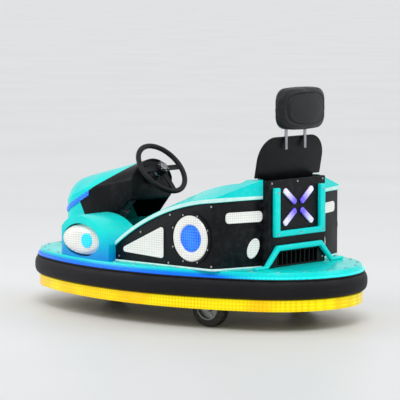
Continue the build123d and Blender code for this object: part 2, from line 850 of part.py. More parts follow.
base_top = seat_base + shell_thickness
back_front = back_line(0, base_top, back_top)
back_rear = back_line(shell_thickness, seat_base, back_top)
shell_side = polygon((seat_front, seat_base), *back_rear, *reversed(back_front), (seat_front, base_top))
back_right = [
    (seat_half_width, back_top),
    (seat_half_width, back_step),
    (back_low_half_width, back_step),
    (back_low_half_width, seat_base),
]
back_outline = polygon(*back_right, *[(-x, z) for x, z in reversed(back_right)])
shoulders = [corner for corner in back_outline.vertices() if corner.Y > back_step + seat_gap]
back_outline = fillet(shoulders, shoulder_round)
shell = side_prism(shell_side, -seat_half_width, seat_half_width) & front_prism(back_outline, 0, half_length)
wing_rear = seat_front + wing_line[-1][0]
shell += block((-seat_half_width, seat_half_width), (seat_front, wing_rear), (seat_base, base_top))
wing = polygon(*[(seat_front + behind, base_top + rise) for behind, rise in wing_line])
for side in (-1, 1):
    wing_x = sorted((side * seat_half_width, side * (seat_half_width - wing_thickness)))
    shell += side_prism(wing, *wing_x)
save("seat_shell", shell)

# Soft pads of the seat
cushion_y = (seat_front + pad_margin, back_base_y - pad_thickness - pad_margin)
cushion_z = (base_top + seat_gap, base_top + cushion_height)
cushion = block(about(0, 2 * cushion_half_width), cushion_y, cushion_z)
save("seat_cushion", fillet(cushion.edges().filter_by(Axis.Z), cushion_corner))
pad_low = base_top + pad_margin
pad_high = back_top - pad_margin
pad_front = back_line(-pad_thickness, pad_low, pad_high)
pad_rear = back_line(-seat_gap, pad_low, pad_high)
pad_half_width = back_low_half_width - pad_margin
pad_outline = Rectangle(2 * pad_half_width, pad_high - pad_low)
pad_outline = fillet(pad_outline.vertices().sort_by(Axis.Y)[-2:], pad_corner)
pad = side_prism(polygon(*pad_front, *reversed(pad_rear)), -pad_half_width, pad_half_width)
pad &= front_prism(Pos(0, (pad_low + pad_high) / 2) * pad_outline, 0, half_length)
save("seat_back_pad", pad)

# Headrest, a rounded pillow on two posts
pillow = RectangleRounded(headrest_width, headrest_height, headrest_height / 2 - pad_margin)
pillow = front_prism(Pos(0, headrest_z) * pillow, *about(headrest_y, headrest_depth))
pillow_plan = Pos(0, headrest_y) * Ellipse(headrest_width / 2, headrest_depth / 2)
pillow &= prism(pillow_plan, back_top, headrest_z + headrest_height)
save("headrest", pillow)
post_y = back_top_y + shell_thickness + post_radius + seat_gap
post_top = headrest_z - headrest_height / 2
post_x = post_spacing / 2
posts = [Pos(x, post_y) * Circle(post_radius) for x in (-post_x, post_x)]
save("headrest_posts", *[prism(post, back_top - post_overlap, post_top) for post in posts])

# Pedals
pedals = []
for x in (-pedal_spacing / 2, pedal_spacing / 2):
    arm_y = (pedal_y - pedal_arm_length, pedal_y)
    arm = block(about(x, pedal_arm_width), arm_y, (floor_top, floor_top + pedal_arm_height))
    foot = Pos(0, 0, pedal_length / 2) * Box(pedal_width, pedal_thickness, pedal_length)
    pedals.append(arm + Pos(x, pedal_y, floor_top + pedal_thickness) * Rot(pedal_lean, 0, 0) * foot)
save("pedals", *pedals)
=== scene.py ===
import bpy
import json
import math
from mathutils import Matrix, Vector

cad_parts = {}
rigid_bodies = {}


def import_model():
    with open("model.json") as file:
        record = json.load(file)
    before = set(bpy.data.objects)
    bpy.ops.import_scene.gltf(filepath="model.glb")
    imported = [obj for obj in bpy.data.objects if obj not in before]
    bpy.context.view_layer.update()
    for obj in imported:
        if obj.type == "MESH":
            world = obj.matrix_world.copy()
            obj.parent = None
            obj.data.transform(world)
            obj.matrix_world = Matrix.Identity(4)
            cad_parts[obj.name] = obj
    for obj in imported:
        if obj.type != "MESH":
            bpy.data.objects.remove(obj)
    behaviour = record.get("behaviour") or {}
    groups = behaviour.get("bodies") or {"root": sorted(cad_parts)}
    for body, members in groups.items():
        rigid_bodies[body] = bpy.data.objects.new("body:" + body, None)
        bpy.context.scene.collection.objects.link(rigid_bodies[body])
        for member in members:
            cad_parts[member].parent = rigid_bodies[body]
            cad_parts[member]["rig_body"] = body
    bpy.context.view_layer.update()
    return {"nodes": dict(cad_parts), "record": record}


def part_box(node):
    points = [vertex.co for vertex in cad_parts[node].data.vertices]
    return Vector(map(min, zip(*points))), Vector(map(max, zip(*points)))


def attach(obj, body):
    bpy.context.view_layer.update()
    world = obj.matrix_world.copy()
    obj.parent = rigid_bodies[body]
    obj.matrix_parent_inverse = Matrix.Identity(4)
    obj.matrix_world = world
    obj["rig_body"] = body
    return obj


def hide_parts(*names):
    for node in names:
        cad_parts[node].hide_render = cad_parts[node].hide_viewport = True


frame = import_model()        # metres: the nose looks along -Y, the kart's left is +X, up is +Z
slotOfNode = {part["node"]: part["material_slot"] for part in frame["record"]["subparts"]}
print("frame loaded:", len(frame["nodes"]), "nodes")


# Hand tools that every piece below is made with

mergeGap = 0.00002   # points nearer to each other than this become one
flatTurn = 0.4       # faces that turn by less than this many degrees become one


def deselectAll():
    if bpy.context.mode != "OBJECT":
        bpy.ops.object.mode_set(mode="OBJECT")
    bpy.ops.object.select_all(action="DESELECT")


def takeUp(piece):
    deselectAll()
    piece.select_set(True)
    bpy.context.view_layer.objects.active = piece


def named(name):
    piece = bpy.context.active_object  # the primitive just added, or the pieces just joined
    piece.name = name
    piece.data.name = name
    return piece


def editPiece(piece, kind="FACE"):
    takeUp(piece)
    bpy.ops.object.mode_set(mode="EDIT")
    bpy.ops.mesh.select_mode(type=kind)


def editAll(piece, kind="FACE"):
    editPiece(piece, kind)
    bpy.ops.mesh.select_all(action="SELECT")


def objectMode():
    bpy.ops.object.mode_set(mode="OBJECT")


def pickFaces(piece, rule):
    # selects faces by their centre and normal, and stays in edit mode
    editPiece(piece, "FACE")
    bpy.ops.mesh.select_all(action="DESELECT")
    objectMode()
    for face in piece.data.polygons:
        face.select = rule(face.center, face.normal)
    bpy.ops.object.mode_set(mode="EDIT")


def pickEdges(piece, rule):
    # selects edges by their two ends, and stays in edit mode
    editPiece(piece, "EDGE")
    bpy.ops.mesh.select_all(action="DESELECT")
    objectMode()
    for edge in piece.data.edges:
        ends = [piece.data.vertices[index] for index in edge.vertices]
        if rule(ends[0].co, ends[1].co):
            edge.select = True
            ends[0].select = ends[1].select = True
    bpy.ops.object.mode_set(mode="EDIT")


def applyModifier(piece, kind, **settings):
    takeUp(piece)
    modifier = piece.modifiers.new(kind.title(), kind)
    for key, value in settings.items():
        setattr(modifier, key, value)
    bpy.ops.object.modifier_apply(modifier=modifier.name)


def easeEdges(piece, width, segments=2, angle=30):
    turn = math.radians(angle)
    applyModifier(piece, "BEVEL", width=width, segments=segments, limit_method="ANGLE", angle_limit=turn)


def cutAcross(piece, spot, normal):
    # parts the selected faces along a plane, so that a change of colour runs clean
    bpy.ops.mesh.bisect(plane_co=spot, plane_no=normal)
    objectMode()


def sinkFaces(piece, rule, margin, depth):
    # frames the picked flat faces with a margin and moves them in, or out where depth is above nought
    pickFaces(piece, rule)
    bpy.ops.mesh.inset(thickness=margin, depth=depth)
    objectMode()


def paintFaces(piece, rule, material):
    piece.data.materials.append(material)
    for face in piece.data.polygons:
        if rule(face.center, face.normal):
            face.material_index = len(piece.data.materials) - 1


def tiePiece(piece, body, slot, nodes=(), smooth=32, recalculate=True):
    # closes doubles, turns the faces outwards, shades the piece and ties it to its body
    editAll(piece)
    bpy.ops.mesh.remove_doubles(threshold=mergeGap)
    if recalculate:
        bpy.ops.mesh.normals_make_consistent(inside=False)
    objectMode()
    bpy.ops.object.shade_smooth_by_angle(angle=math.radians(smooth))
    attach(piece, body)
    if nodes:
        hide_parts(*nodes)
    return piece


def fitPiece(piece, body, slot, nodes=(), paint=None, **shading):
    # paints the piece with its slot's finish, or with the one that paint names, and ties it to its body
    piece.data.materials.clear()
    piece.data.materials.append(finish[paint or finishOfSlot[slot]])
    return tiePiece(piece, body, slot, nodes, **shading)


def pieceName(node):
    # the node's words run together, so that rear_axle becomes rearAxle
    first, *others = node.split("_")
    return first + "".join(word.title() for word in others)


def fromNode(node, name=None):
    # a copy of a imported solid, its loose triangles merged into whole faces
    piece = bpy.data.objects.new(name or pieceName(node), frame["nodes"][node].data.copy())
    piece.data.name = piece.name
    bpy.context.scene.collection.objects.link(piece)
    editAll(piece)
    bpy.ops.mesh.customdata_custom_splitnormals_clear()
    bpy.ops.mesh.remove_doubles(threshold=mergeGap)
    bpy.ops.mesh.dissolve_limited(angle_limit=math.radians(flatTurn))
    objectMode()
    return piece


def block(name, low, high, width=0.0, segments=2):
    # a box between two corners with eased edges, to shape further
    deselectAll()
    low, high = Vector(low), Vector(high)
    bpy.ops.mesh.primitive_cube_add(size=1, location=(low + high) / 2)
    piece = named(name)
    piece.scale = high - low
    bpy.ops.object.transform_apply(location=True, rotation=True, scale=True)
    if width:
        easeEdges(piece, width, segments)
    return piece


def turnedPiece(name, outline, sides, closed=False):
    # a turned form about Z from (radius, height) steps: a ring where closed, else a solid with flat ends
    deselectAll()
    fill = "NOTHING" if closed else "NGON"
    radius, height = outline[0]
    bpy.ops.mesh.primitive_circle_add(vertices=sides, radius=radius, fill_type=fill, location=(0, 0, height))
    piece = named(name)
    bpy.ops.object.transform_apply(location=True, rotation=True, scale=True)
    editAll(piece, "EDGE")
    steps = [*outline, outline[0]] if closed else outline
    for (radius, height), (nextRadius, nextHeight) in zip(steps, steps[1:]):
        rise = (0, 0, nextHeight - height)
        bpy.ops.mesh.extrude_region_move(TRANSFORM_OT_translate={"value": rise})
        share = nextRadius / radius
        bpy.ops.transform.resize(value=(share, share, 1), center_override=(0, 0, nextHeight))
    objectMode()
    return piece


def sectorOf(spot, sides):
    # which of a turned form's sides a point lies on
    turn = math.degrees(math.atan2(spot.y, spot.x)) % 360
    return int(turn // (360 / sides))


def tube(name, points, radius, closed=False, sides=6):
    # a round bar, bead or wire along a row of points
    curve = bpy.data.curves.new(name, "CURVE")
    curve.dimensions = "3D"
    curve.bevel_depth = radius
    curve.bevel_resolution = max(1, sides // 2 - 1)
    curve.use_fill_caps = True
    line = curve.splines.new("POLY")
    line.points.add(len(points) - 1)
    for spot, point in zip(line.points, points):
        spot.co = (*point, 1)
    line.use_cyclic_u = closed
    piece = bpy.data.objects.new(name, curve)
    bpy.context.scene.collection.objects.link(piece)
    takeUp(piece)
    bpy.ops.object.convert(target="MESH")
    return bpy.context.active_object


def joinPieces(name, pieces):
    takeUp(pieces[0])
    for piece in pieces[1:]:
        piece.select_set(True)
    bpy.ops.object.join()
    return named(name)


def copied(model, matrix):
    # a copy with a mesh of its own, put where the matrix says
    twin = bpy.data.objects.new(model.name + "Twin", model.data.copy())
    bpy.context.scene.collection.objects.link(twin)
    twin.data.transform(matrix)
    if matrix.determinant() < 0:
        twin.data.flip_normals()
    return twin


def facing(place, normal):
    # the matrix that brings a piece modelled up Z to a place, its top towards a direction
    return Matrix.Translation(place) @ Vector(normal).to_track_quat("Z", "Y").to_matrix().to_4x4()


def flattened(level, share):
    # the matrix that squashes a piece towards a level
    lift = Matrix.Translation((0, 0, level))
    return lift @ Matrix.Scale(share, 4, (0, 0, 1)) @ lift.inverted()


def circle(count, radius, start=0.0):
    # evenly spaced pairs of distances from the middle of a circle
    turns = [2 * math.pi * (number + start) / count for number in range(count)]
    return [(radius * math.cos(turn), radius * math.sin(turn)) for turn in turns]


def spread(name, model, matrices):
    # one joined piece of copies of a small model
    twins = [copied(model, matrix) for matrix in matrices]
    bpy.data.objects.remove(model)
    return joinPieces(name, twins)


def mirrored(piece):
    # the piece with its twin on the kart's other side
    flip = Matrix.Scale(-1, 4, (1, 0, 0))
    return joinPieces(piece.name, [piece, copied(piece, flip)])


# Bolts and screws: a domed head with a socket, sized by its radius

bolt = {"outline": [(1, 0), (1, 0.22), (0.88, 0.42), (0.62, 0.52)], "rim": 0.22, "socket": 0.25}


def fitBolts(name, radius, places, body="chassis", sides=10, smooth=35, bothSides=False):
    outline = [(radius * share, radius * rise) for share, rise in bolt["outline"]]
    model = turnedPiece(name + "Model", outline, sides)
    sinkFaces(model, lambda centre, normal: normal.z > 0.9, radius * bolt["rim"], -radius * bolt["socket"])
    bolts = spread(name, model, places)
    if bothSides:
        bolts = mirrored(bolts)
    fitPiece(bolts, body, "bright_steel", smooth=smooth)


# Node groups that several finishes share: they put out only masks, tones and heights

def setInputs(tree, node, inputs):
    # links the inputs that are given another node's output, and sets the others
    for key, value in inputs.items():
        if isinstance(value, bpy.types.NodeSocket):
            tree.links.new(value, node.inputs[key])
        else:
            node.inputs[key].default_value = value


def addNode(tree, kind, inputs=None, **settings):
    node = tree.nodes.new("ShaderNode" + kind)
    for key, value in settings.items():
        setattr(node, key, value)
    setInputs(tree, node, inputs or {})
    return node


def mathNode(tree, operation, first, second):
    return addNode(tree, "Math", {0: first, 1: second}, operation=operation).outputs[0]


def ramp(tree, value, low, high, outLow=0.0, outHigh=1.0):
    inputs = {"Value": value, "From Min": low, "From Max": high, "To Min": outLow, "To Max": outHigh}
    return addNode(tree, "MapRange", inputs).outputs[0]


def mixColours(tree, share, first, second):
    return addNode(tree, "Mix", {0: share, 6: first, 7: second}, data_type="RGBA").outputs[2]


def objectSpot(tree):
    return addNode(tree, "TexCoord").outputs["Object"]


def noise(tree, spot, scale, detail, **more):
    return addNode(tree, "TexNoise", {"Vector": spot, "Scale": scale, "Detail": detail, **more}).outputs[0]


def newGroup(name, inputs, outputs):
    group = bpy.data.node_groups.new(name, "ShaderNodeTree")
    for label, value in inputs.items():
        kind = "NodeSocketVector" if value is None else "NodeSocketFloat"
        socket = group.interface.new_socket(name=label, in_out="INPUT", socket_type=kind)
        if value is not None:
            socket.default_value = value
    for label in outputs:
        group.interface.new_socket(name=label, in_out="OUTPUT", socket_type="NodeSocketFloat")
    return group, group.nodes.new("NodeGroupInput").outputs, group.nodes.new("NodeGroupOutput").inputs


def makeMouldGrain():
    # fine grain of a moulding, with broad clouds of tone
    group, entry, end = newGroup("mouldGrain", {"Scale": 600, "Patch": 6}, ["Height", "Tone"])
    spot = objectSpot(group)
    broad = noise(group, spot, entry["Patch"], 4.0)
    group.links.new(noise(group, spot, entry["Scale"], 5.0), end["Height"])
    group.links.new(ramp(group, broad, 0.32, 0.68), end["Tone"])
    return group


def makeLeatherGrain():
    # pebbled cells of vinyl leather with soft creases
    group, entry, end = newGroup("leatherGrain", {"Scale": 420, "Crease": 16}, ["Height", "Tone"])
    spot = objectSpot(group)
    cells = {"Vector": spot, "Scale": entry["Scale"], "Randomness": 0.9}
    cell = addNode(group, "TexVoronoi", cells, feature="DISTANCE_TO_EDGE").outputs["Distance"]
    crease = noise(group, spot, entry["Crease"], 6.0, Distortion=1.2)
    pebble = mathNode(group, "MULTIPLY", ramp(group, cell, 0.0, 0.12), 0.35)
    group.links.new(mathNode(group, "ADD", pebble, crease), end["Height"])
    group.links.new(ramp(group, crease, 0.3, 0.7), end["Tone"])
    return group


def makeEdgeWear():
    # rubbed edges, broken up by noise
    group, entry, end = newGroup("edgeWear", {"Amount": 0.5, "Patch": 40}, ["Mask"])
    point = addNode(group, "NewGeometry").outputs["Pointiness"]
    broken = ramp(group, noise(group, objectSpot(group), entry["Patch"], 5.0), 0.48, 0.64)
    worn = mathNode(group, "MULTIPLY", ramp(group, point, 0.51, 0.58), broken)
    group.links.new(mathNode(group, "MULTIPLY", worn, entry["Amount"]), end["Mask"])
    return group


def makeDust():
    # dust that lies on faces that look up
    group, entry, end = newGroup("dust", {"Amount": 0.2, "Patch": 9}, ["Mask"])
    coords = addNode(group, "TexCoord").outputs
    up = addNode(group, "SeparateXYZ", {0: coords["Normal"]}).outputs["Z"]
    patches = noise(group, coords["Object"], entry["Patch"], 7.0, Roughness=0.7)
    lies = mathNode(group, "MULTIPLY", ramp(group, up, 0.35, 1.0), ramp(group, patches, 0.42, 0.72))
    group.links.new(mathNode(group, "MULTIPLY", lies, entry["Amount"]), end["Mask"])
    return group


def makeScuffs():
    # long level rub marks, as a bumper gathers them
    group, entry, end = newGroup("scuffs", {"Amount": 0.5, "Scale": 9}, ["Mask"])
    level = {"Vector": objectSpot(group), "Scale": (1.0, 1.0, 16.0)}
    marks = noise(group, addNode(group, "Mapping", level).outputs[0], entry["Scale"], 8.0, Roughness=0.75)
    rubbed = mathNode(group, "MULTIPLY", ramp(group, marks, 0.56, 0.7), entry["Amount"])
    group.links.new(rubbed, end["Mask"])
    return group


def makeLampCells():
    # a grid of light points behind a cover
    group, entry, end = newGroup("lampCells", {"Vector": None, "Scale": 80}, ["Glow", "Height"])
    cells = {"Vector": entry["Vector"], "Scale": entry["Scale"], "Randomness": 0.0}
    away = addNode(group, "TexVoronoi", cells, voronoi_dimensions="2D").outputs["Distance"]
    group.links.new(ramp(group, away, 0.18, 0.5, 1.0, 0.0), end["Glow"])
    group.links.new(ramp(group, away, 0.3, 0.5, 1.0, 0.0), end["Height"])
    return group


mouldGrain = makeMouldGrain()
leatherGrain = makeLeatherGrain()
edgeWear = makeEdgeWear()
dust = makeDust()
scuffs = makeScuffs()
lampCells = makeLampCells()


# Finishes of the shells, rubber, steel and seat

def shade(red, green, blue):
    # a screen colour from 0 to 255 as a linear one
    def linear(value):
        share = value / 255
        return share / 12.92 if share < 0.04 else ((share + 0.055) / 1.055) ** 2.4
    return (linear(red), linear(green), linear(blue), 1.0)


def useGroup(tree, group, **inputs):
    return addNode(tree, "Group", inputs, node_tree=group)


def newMaterial(name):
    material = bpy.data.materials.new(name)
    material.use_nodes = True
    tree = material.node_tree
    tree.nodes.clear()
    surface = tree.nodes.new("ShaderNodeBsdfPrincipled")
    output = tree.nodes.new("ShaderNodeOutputMaterial")
    tree.links.new(surface.outputs[0], output.inputs[0])
    return material, tree, surface


marks = {
    # group, the look's colour for it, how much rougher it makes the surface
    "wear": (edgeWear, "bare", 0.15),
    "scuff": (scuffs, "rubbed", 0.2),
    "dusty": (dust, "dustTone", 0.3),
}
plainFinish = {"dustTone": shade(150, 146, 138), "metal": 0.0, "gloss": 0.5, "coat": 0.0, "coatRough": 0.06,
               "sheen": 0.0}


def makeFinish(name, ownLook):
    # an opaque finish: two tones, grain, rubbed edges and dust, with roughness that follows them
    look = {**plainFinish, **ownLook}
    material, tree, surface = newMaterial(name)
    if "crease" in look:
        grain = useGroup(tree, leatherGrain, Scale=look["grain"], Crease=look["crease"])
    else:
        grain = useGroup(tree, mouldGrain, Scale=look["grain"], Patch=look["patch"])
    tone = grain.outputs["Tone"]
    colour = mixColours(tree, tone, look["tone"], look["deep"])
    rough = ramp(tree, tone, 0.0, 1.0, *look["rough"])
    for mark, (group, markTone, rougher) in marks.items():
        if mark in look:
            mask = useGroup(tree, group, Amount=look[mark]).outputs["Mask"]
            colour = mixColours(tree, mask, colour, look[markTone])
            rough = mathNode(tree, "ADD", rough, mathNode(tree, "MULTIPLY", mask, rougher))
    # painted light: a look may paint blue lamp light into the colour
    if "fade" in look:
        colour = look["fade"](tree, colour)
    relief = {"Height": grain.outputs["Height"], "Strength": look["bump"], "Distance": look["depth"]}
    setInputs(tree, surface, {
        "Base Color": colour, "Roughness": rough, "Normal": addNode(tree, "Bump", relief).outputs[0],
        "Metallic": look["metal"], "Specular IOR Level": look["gloss"], "Coat Weight": look["coat"],
        "Coat Roughness": look["coatRough"], "Sheen Weight": look["sheen"]})
    return material


paintedBlueLightSpans = {
    # where the painted blue lamp light is full, where it is gone, how strong it is
    "foot": (0.300, 0.430, 0.85),
    "sill": (0.266, 0.282, 1.0),
    "ahead": (0.480, 0.700, 0.92),
}


# painted blue lamp light: how strong it is along one axis of the piece
def paintedBlueLightAlong(tree, axis, name):
    full, gone, strength = paintedBlueLightSpans[name]
    along = addNode(tree, "SeparateXYZ", {0: objectSpot(tree)}).outputs[axis]
    return ramp(tree, along, full, gone, strength, 0.0)


def paintedBlueLightFoot(tree, colour):
    # painted blue lamp light: the fenders run from turquoise to blue towards their foot
    return mixColours(tree, paintedBlueLightAlong(tree, "Z", "foot"), colour, shade(0, 128, 228))


def paintedBlueLightSill(tree, colour):
    # painted reflection of the blue lamps: the deck's outer wall is blue beside the fenders and side lamps,
    # and turquoise at the tail
    share = mathNode(tree, "MULTIPLY", paintedBlueLightAlong(tree, "Z", "sill"), paintedBlueLightAlong(tree, "Y", "ahead"))
    return mixColours(tree, share, colour, shade(0, 122, 226))


turquoise = {"tone": shade(0, 230, 222), "deep": shade(0, 215, 213), "rough": (0.2, 0.3), "coat": 0.05,
             "gloss": 0.15, "grain": 900, "patch": 5, "bump": 0.03, "depth": 0.0004,
             "wear": 0.3, "bare": shade(120, 232, 228), "scuff": 0.04, "rubbed": shade(70, 216, 212),
             "dusty": 0.03}
finishLooks = {
    "bodyGloss": turquoise,
    # the fender finish carries painted blue lamp light at its foot
    "fenderGloss": {**turquoise, "fade": paintedBlueLightFoot},
    # the deck finish carries a painted reflection of the blue lamps on its outer wall
    "deckGloss": {**turquoise, "fade": paintedBlueLightSill},
    "blackShell": {"tone": shade(8, 9, 12), "deep": shade(15, 16, 19), "rough": (0.3, 0.46), "gloss": 0.14,
                   "grain": 1400, "patch": 7, "bump": 0.12, "depth": 0.0006, "wear": 0.3,
                   "bare": shade(58, 60, 64), "scuff": 0.08, "rubbed": shade(40, 42, 46), "dusty": 0.04},
    "bumperRubber": {"tone": shade(12, 12, 15), "deep": shade(21, 21, 25), "rough": (0.5, 0.66),
                     "gloss": 0.18, "grain": 500, "patch": 4, "bump": 0.18, "depth": 0.001, "wear": 0.25,
                     "bare": shade(58, 58, 62), "scuff": 0.4, "rubbed": shade(52, 52, 57), "dusty": 0.1},
    "frameSteel": {"tone": shade(24, 25, 27), "deep": shade(38, 39, 41), "rough": (0.4, 0.55), "grain": 700,
                   "patch": 8, "bump": 0.15, "depth": 0.0006, "wear": 0.7, "bare": shade(120, 112, 102),
                   "dusty": 0.35},
    "brightSteel": {"tone": shade(176, 179, 183), "deep": shade(142, 146, 150), "rough": (0.22, 0.4),
                    "metal": 1.0, "grain": 800, "patch": 20, "bump": 0.06, "depth": 0.0004, "wear": 0.4,
                    "bare": shade(214, 216, 220)},
    "castHousing": {"tone": shade(148, 151, 155), "deep": shade(118, 121, 125), "rough": (0.42, 0.6),
                    "metal": 0.9, "grain": 380, "patch": 14, "bump": 0.4, "depth": 0.0012, "wear": 0.5,
                    "bare": shade(196, 198, 202), "dusty": 0.2},
    "floorMat": {"tone": shade(30, 31, 33), "deep": shade(46, 46, 46), "rough": (0.6, 0.8), "grain": 500,
                 "patch": 12, "bump": 0.35, "depth": 0.0012, "wear": 0.5, "bare": shade(84, 84, 82),
                 "dusty": 0.45},
    "seatVinyl": {"tone": shade(14, 15, 17), "deep": shade(25, 26, 29), "rough": (0.34, 0.5), "gloss": 0.26,
                  "grain": 430, "crease": 9, "bump": 0.28, "depth": 0.0022, "wear": 0.25,
                  "bare": shade(56, 57, 60), "dusty": 0.06, "sheen": 0.04},
    "gripRubber": {"tone": shade(15, 15, 18), "deep": shade(27, 27, 30), "rough": (0.46, 0.6), "gloss": 0.22,
                   "grain": 620, "crease": 30, "bump": 0.35, "depth": 0.001, "wear": 0.3,
                   "bare": shade(64, 64, 66)},
    "tyreRubber": {"tone": shade(27, 27, 28), "deep": shade(44, 43, 41), "rough": (0.7, 0.88), "grain": 480,
                   "patch": 24, "bump": 0.4, "depth": 0.0012, "wear": 0.5, "bare": shade(86, 83, 78),
                   "dusty": 0.35},
    "batteryCase": {"tone": shade(46, 48, 51), "deep": shade(60, 62, 64), "rough": (0.45, 0.6), "grain": 700,
                    "patch": 9, "bump": 0.15, "depth": 0.0006, "wear": 0.4, "bare": shade(110, 112, 114),
                    "dusty": 0.3},
    "paleTrim": {"tone": shade(214, 246, 240), "deep": shade(190, 238, 234), "rough": (0.3, 0.42),
                 "coat": 0.2, "grain": 900, "patch": 10, "bump": 0.03, "depth": 0.0004, "wear": 0.3,
                 "bare": shade(120, 190, 190), "dusty": 0.05},
    "stitchThread": {"tone": shade(60, 62, 66), "deep": shade(44, 45, 48), "rough": (0.6, 0.75),
                     "grain": 2400, "patch": 60, "bump": 0.5, "depth": 0.0004},
}


# Finishes of the lamps, each lit from within

plainLamp = {"cloudScale": 300, "cloudShare": 0.25, "rough": (0.16, 0.3), "bump": 0.25, "depth": 0.0015,
             "gloss": 0.5, "coat": 0.6, "coatRough": 0.05}
glowSpots = {
    # middle, scale of each axis, how far the inner colour reaches, where the outer one starts
    "crossHeart": ((0.0, 0.65, 0.568), (1.0, 0.0, 1.0), 0.045, 0.110),
    "amberHeart": ((-0.012, -0.75, 0.562), (1.0, 0.0, 1.7), 0.018, 0.046),
    "amberRim": ((-0.012, -0.75, 0.562), (1.0, 0.0, 1.7), 0.050, 0.078),
    "amberSide": ((0.062, -0.75, 0.545), (1.0, 0.0, 1.3), 0.018, 0.044),
}


def makeLamp(name, ownLook):
    # a lit cover: light points behind it, brighter where they stand, under a clear coat
    look = {**plainLamp, **ownLook}
    material, tree, surface = newMaterial(name)
    spot = objectSpot(tree)
    turn = [math.radians(angle) for angle in look["turn"]]
    flat = addNode(tree, "Mapping", {"Vector": spot, "Rotation": turn}).outputs[0]
    cells = useGroup(tree, lampCells, Vector=flat, Scale=look["cells"])
    clouds = useGroup(tree, mouldGrain, Scale=look["cloudScale"], Patch=look["patch"]).outputs["Tone"]
    points = mathNode(tree, "MULTIPLY", cells.outputs["Glow"], look["contrast"])
    lit = mathNode(tree, "ADD", points, mathNode(tree, "MULTIPLY", clouds, look["cloudShare"]))
    if "zones" in look:
        colour = look["zones"](tree, spot, lit)
    else:
        colour = mixColours(tree, lit, look["dim"], look["lit"])
    relief = {"Height": cells.outputs["Height"], "Strength": look["bump"], "Distance": look["depth"]}
    setInputs(tree, surface, {
        "Base Color": colour, "Emission Color": colour, "Emission Strength": look["glow"],
        "Roughness": ramp(tree, clouds, 0.0, 1.0, *look["rough"]),
        "Normal": addNode(tree, "Bump", relief).outputs[0], "Specular IOR Level": look["gloss"],
        "Coat Weight": look["coat"], "Coat Roughness": look["coatRough"]})
    return material


def awayFrom(tree, spot, name, inside=0.0, outside=1.0):
    # a share that changes from inside a glow's spot to outside it
    middle, scale, reach, start = glowSpots[name]
    moved = addNode(tree, "VectorMath", {0: spot, 1: middle}, operation="SUBTRACT").outputs[0]
    sized = addNode(tree, "VectorMath", {0: moved, 1: scale}, operation="MULTIPLY").outputs[0]
    away = addNode(tree, "VectorMath", {0: sized}, operation="LENGTH").outputs["Value"]
    return ramp(tree, away, reach, start, inside, outside)


def seamed(tree, lit, colour, seamTone, share, full=0.5):
    # a glow with darker seams between its light points
    seam = mixColours(tree, share, colour, seamTone)
    return mixColours(tree, ramp(tree, lit, 0.0, full), seam, colour)


def violetZones(tree, spot, lit):
    # the cross lamp is violet at its heart and nearly white at the tips of its arms
    colour = mixColours(tree, awayFrom(tree, spot, "crossHeart"), shade(104, 84, 232), shade(228, 222, 255))
    return seamed(tree, lit, colour, shade(70, 50, 190), 0.35)


def amberZones(tree, spot, lit):
    # the fairing lamp is yellow at its heart, orange round it and red at its rim, with a violet side
    warm = mixColours(tree, awayFrom(tree, spot, "amberHeart"), shade(255, 232, 84), shade(255, 138, 26))
    warm = mixColours(tree, awayFrom(tree, spot, "amberRim"), warm, shade(232, 44, 40))
    colour = mixColours(tree, awayFrom(tree, spot, "amberSide", 0.9, 0.0), warm, shade(104, 84, 240))
    return seamed(tree, lit, colour, shade(60, 20, 30), 0.4)


def yellowZones(tree, spot, lit):
    # the strip under the ring glows yellow, with broad warmer patches and darker seams between its points
    warm = ramp(tree, noise(tree, spot, 3.4, 2.0), 0.50, 0.66, 0.0, 0.6)
    colour = mixColours(tree, warm, shade(250, 233, 0), shade(250, 188, 0))
    return seamed(tree, lit, colour, shade(214, 130, 0), 0.4, 0.45)


def lineZones(tree, spot, lit):
    # the deck's light line is blue at the nose and flanks, and turquoise at the tail
    along = addNode(tree, "SeparateXYZ", {0: spot}).outputs["Y"]
    colour = mixColours(tree, ramp(tree, along, 0.540, 0.720), shade(0, 104, 236), shade(20, 226, 220))
    return seamed(tree, lit, colour, shade(0, 60, 150), 0.3)


sideways = (0, -90, 0)   # the cells' grid lies in the plane seen from the side
frontal = (90, 0, 0)     # the cells' grid lies in the plane seen from the front
lampLooks = {
    # each has its own zones, or a lit and a dim colour
    "stripGlow": {"zones": yellowZones, "glow": 0.16, "cells": 60, "patch": 6, "contrast": 0.7,
                  "turn": sideways, "coat": 0.1, "gloss": 0.15},
    "whiteGlow": {"lit": shade(244, 243, 236), "dim": shade(206, 209, 206), "glow": 0.12, "cells": 90,
                  "patch": 12, "contrast": 0.9, "turn": sideways},
    "tailGlow": {"lit": shade(244, 243, 238), "dim": shade(208, 210, 208), "glow": 0.14, "cells": 90,
                 "patch": 12, "contrast": 0.9, "turn": frontal},
    "blueGlow": {"lit": shade(64, 160, 246), "dim": shade(4, 82, 218), "glow": 0.3, "cells": 75,
                 "patch": 12, "contrast": 0.5, "turn": sideways, "bump": 0.2, "coat": 0.3, "gloss": 0.25},
    "cyanGlow": {"lit": shade(60, 240, 250), "dim": shade(0, 190, 226), "glow": 0.25, "cells": 90,
                 "patch": 16, "contrast": 0.7, "turn": sideways, "coat": 0.3, "gloss": 0.25},
    "violetGlow": {"zones": violetZones, "glow": 0.35, "cells": 80, "patch": 12, "contrast": 0.7,
                   "turn": frontal},
    "amberGlow": {"zones": amberZones, "glow": 0.5, "cells": 70, "patch": 12, "contrast": 0.7,
                  "turn": frontal},
    "lineGlow": {"zones": lineZones, "glow": 0.5, "cells": 60, "patch": 12, "contrast": 0.8,
                 "turn": sideways, "coat": 0.1, "gloss": 0.2},
}

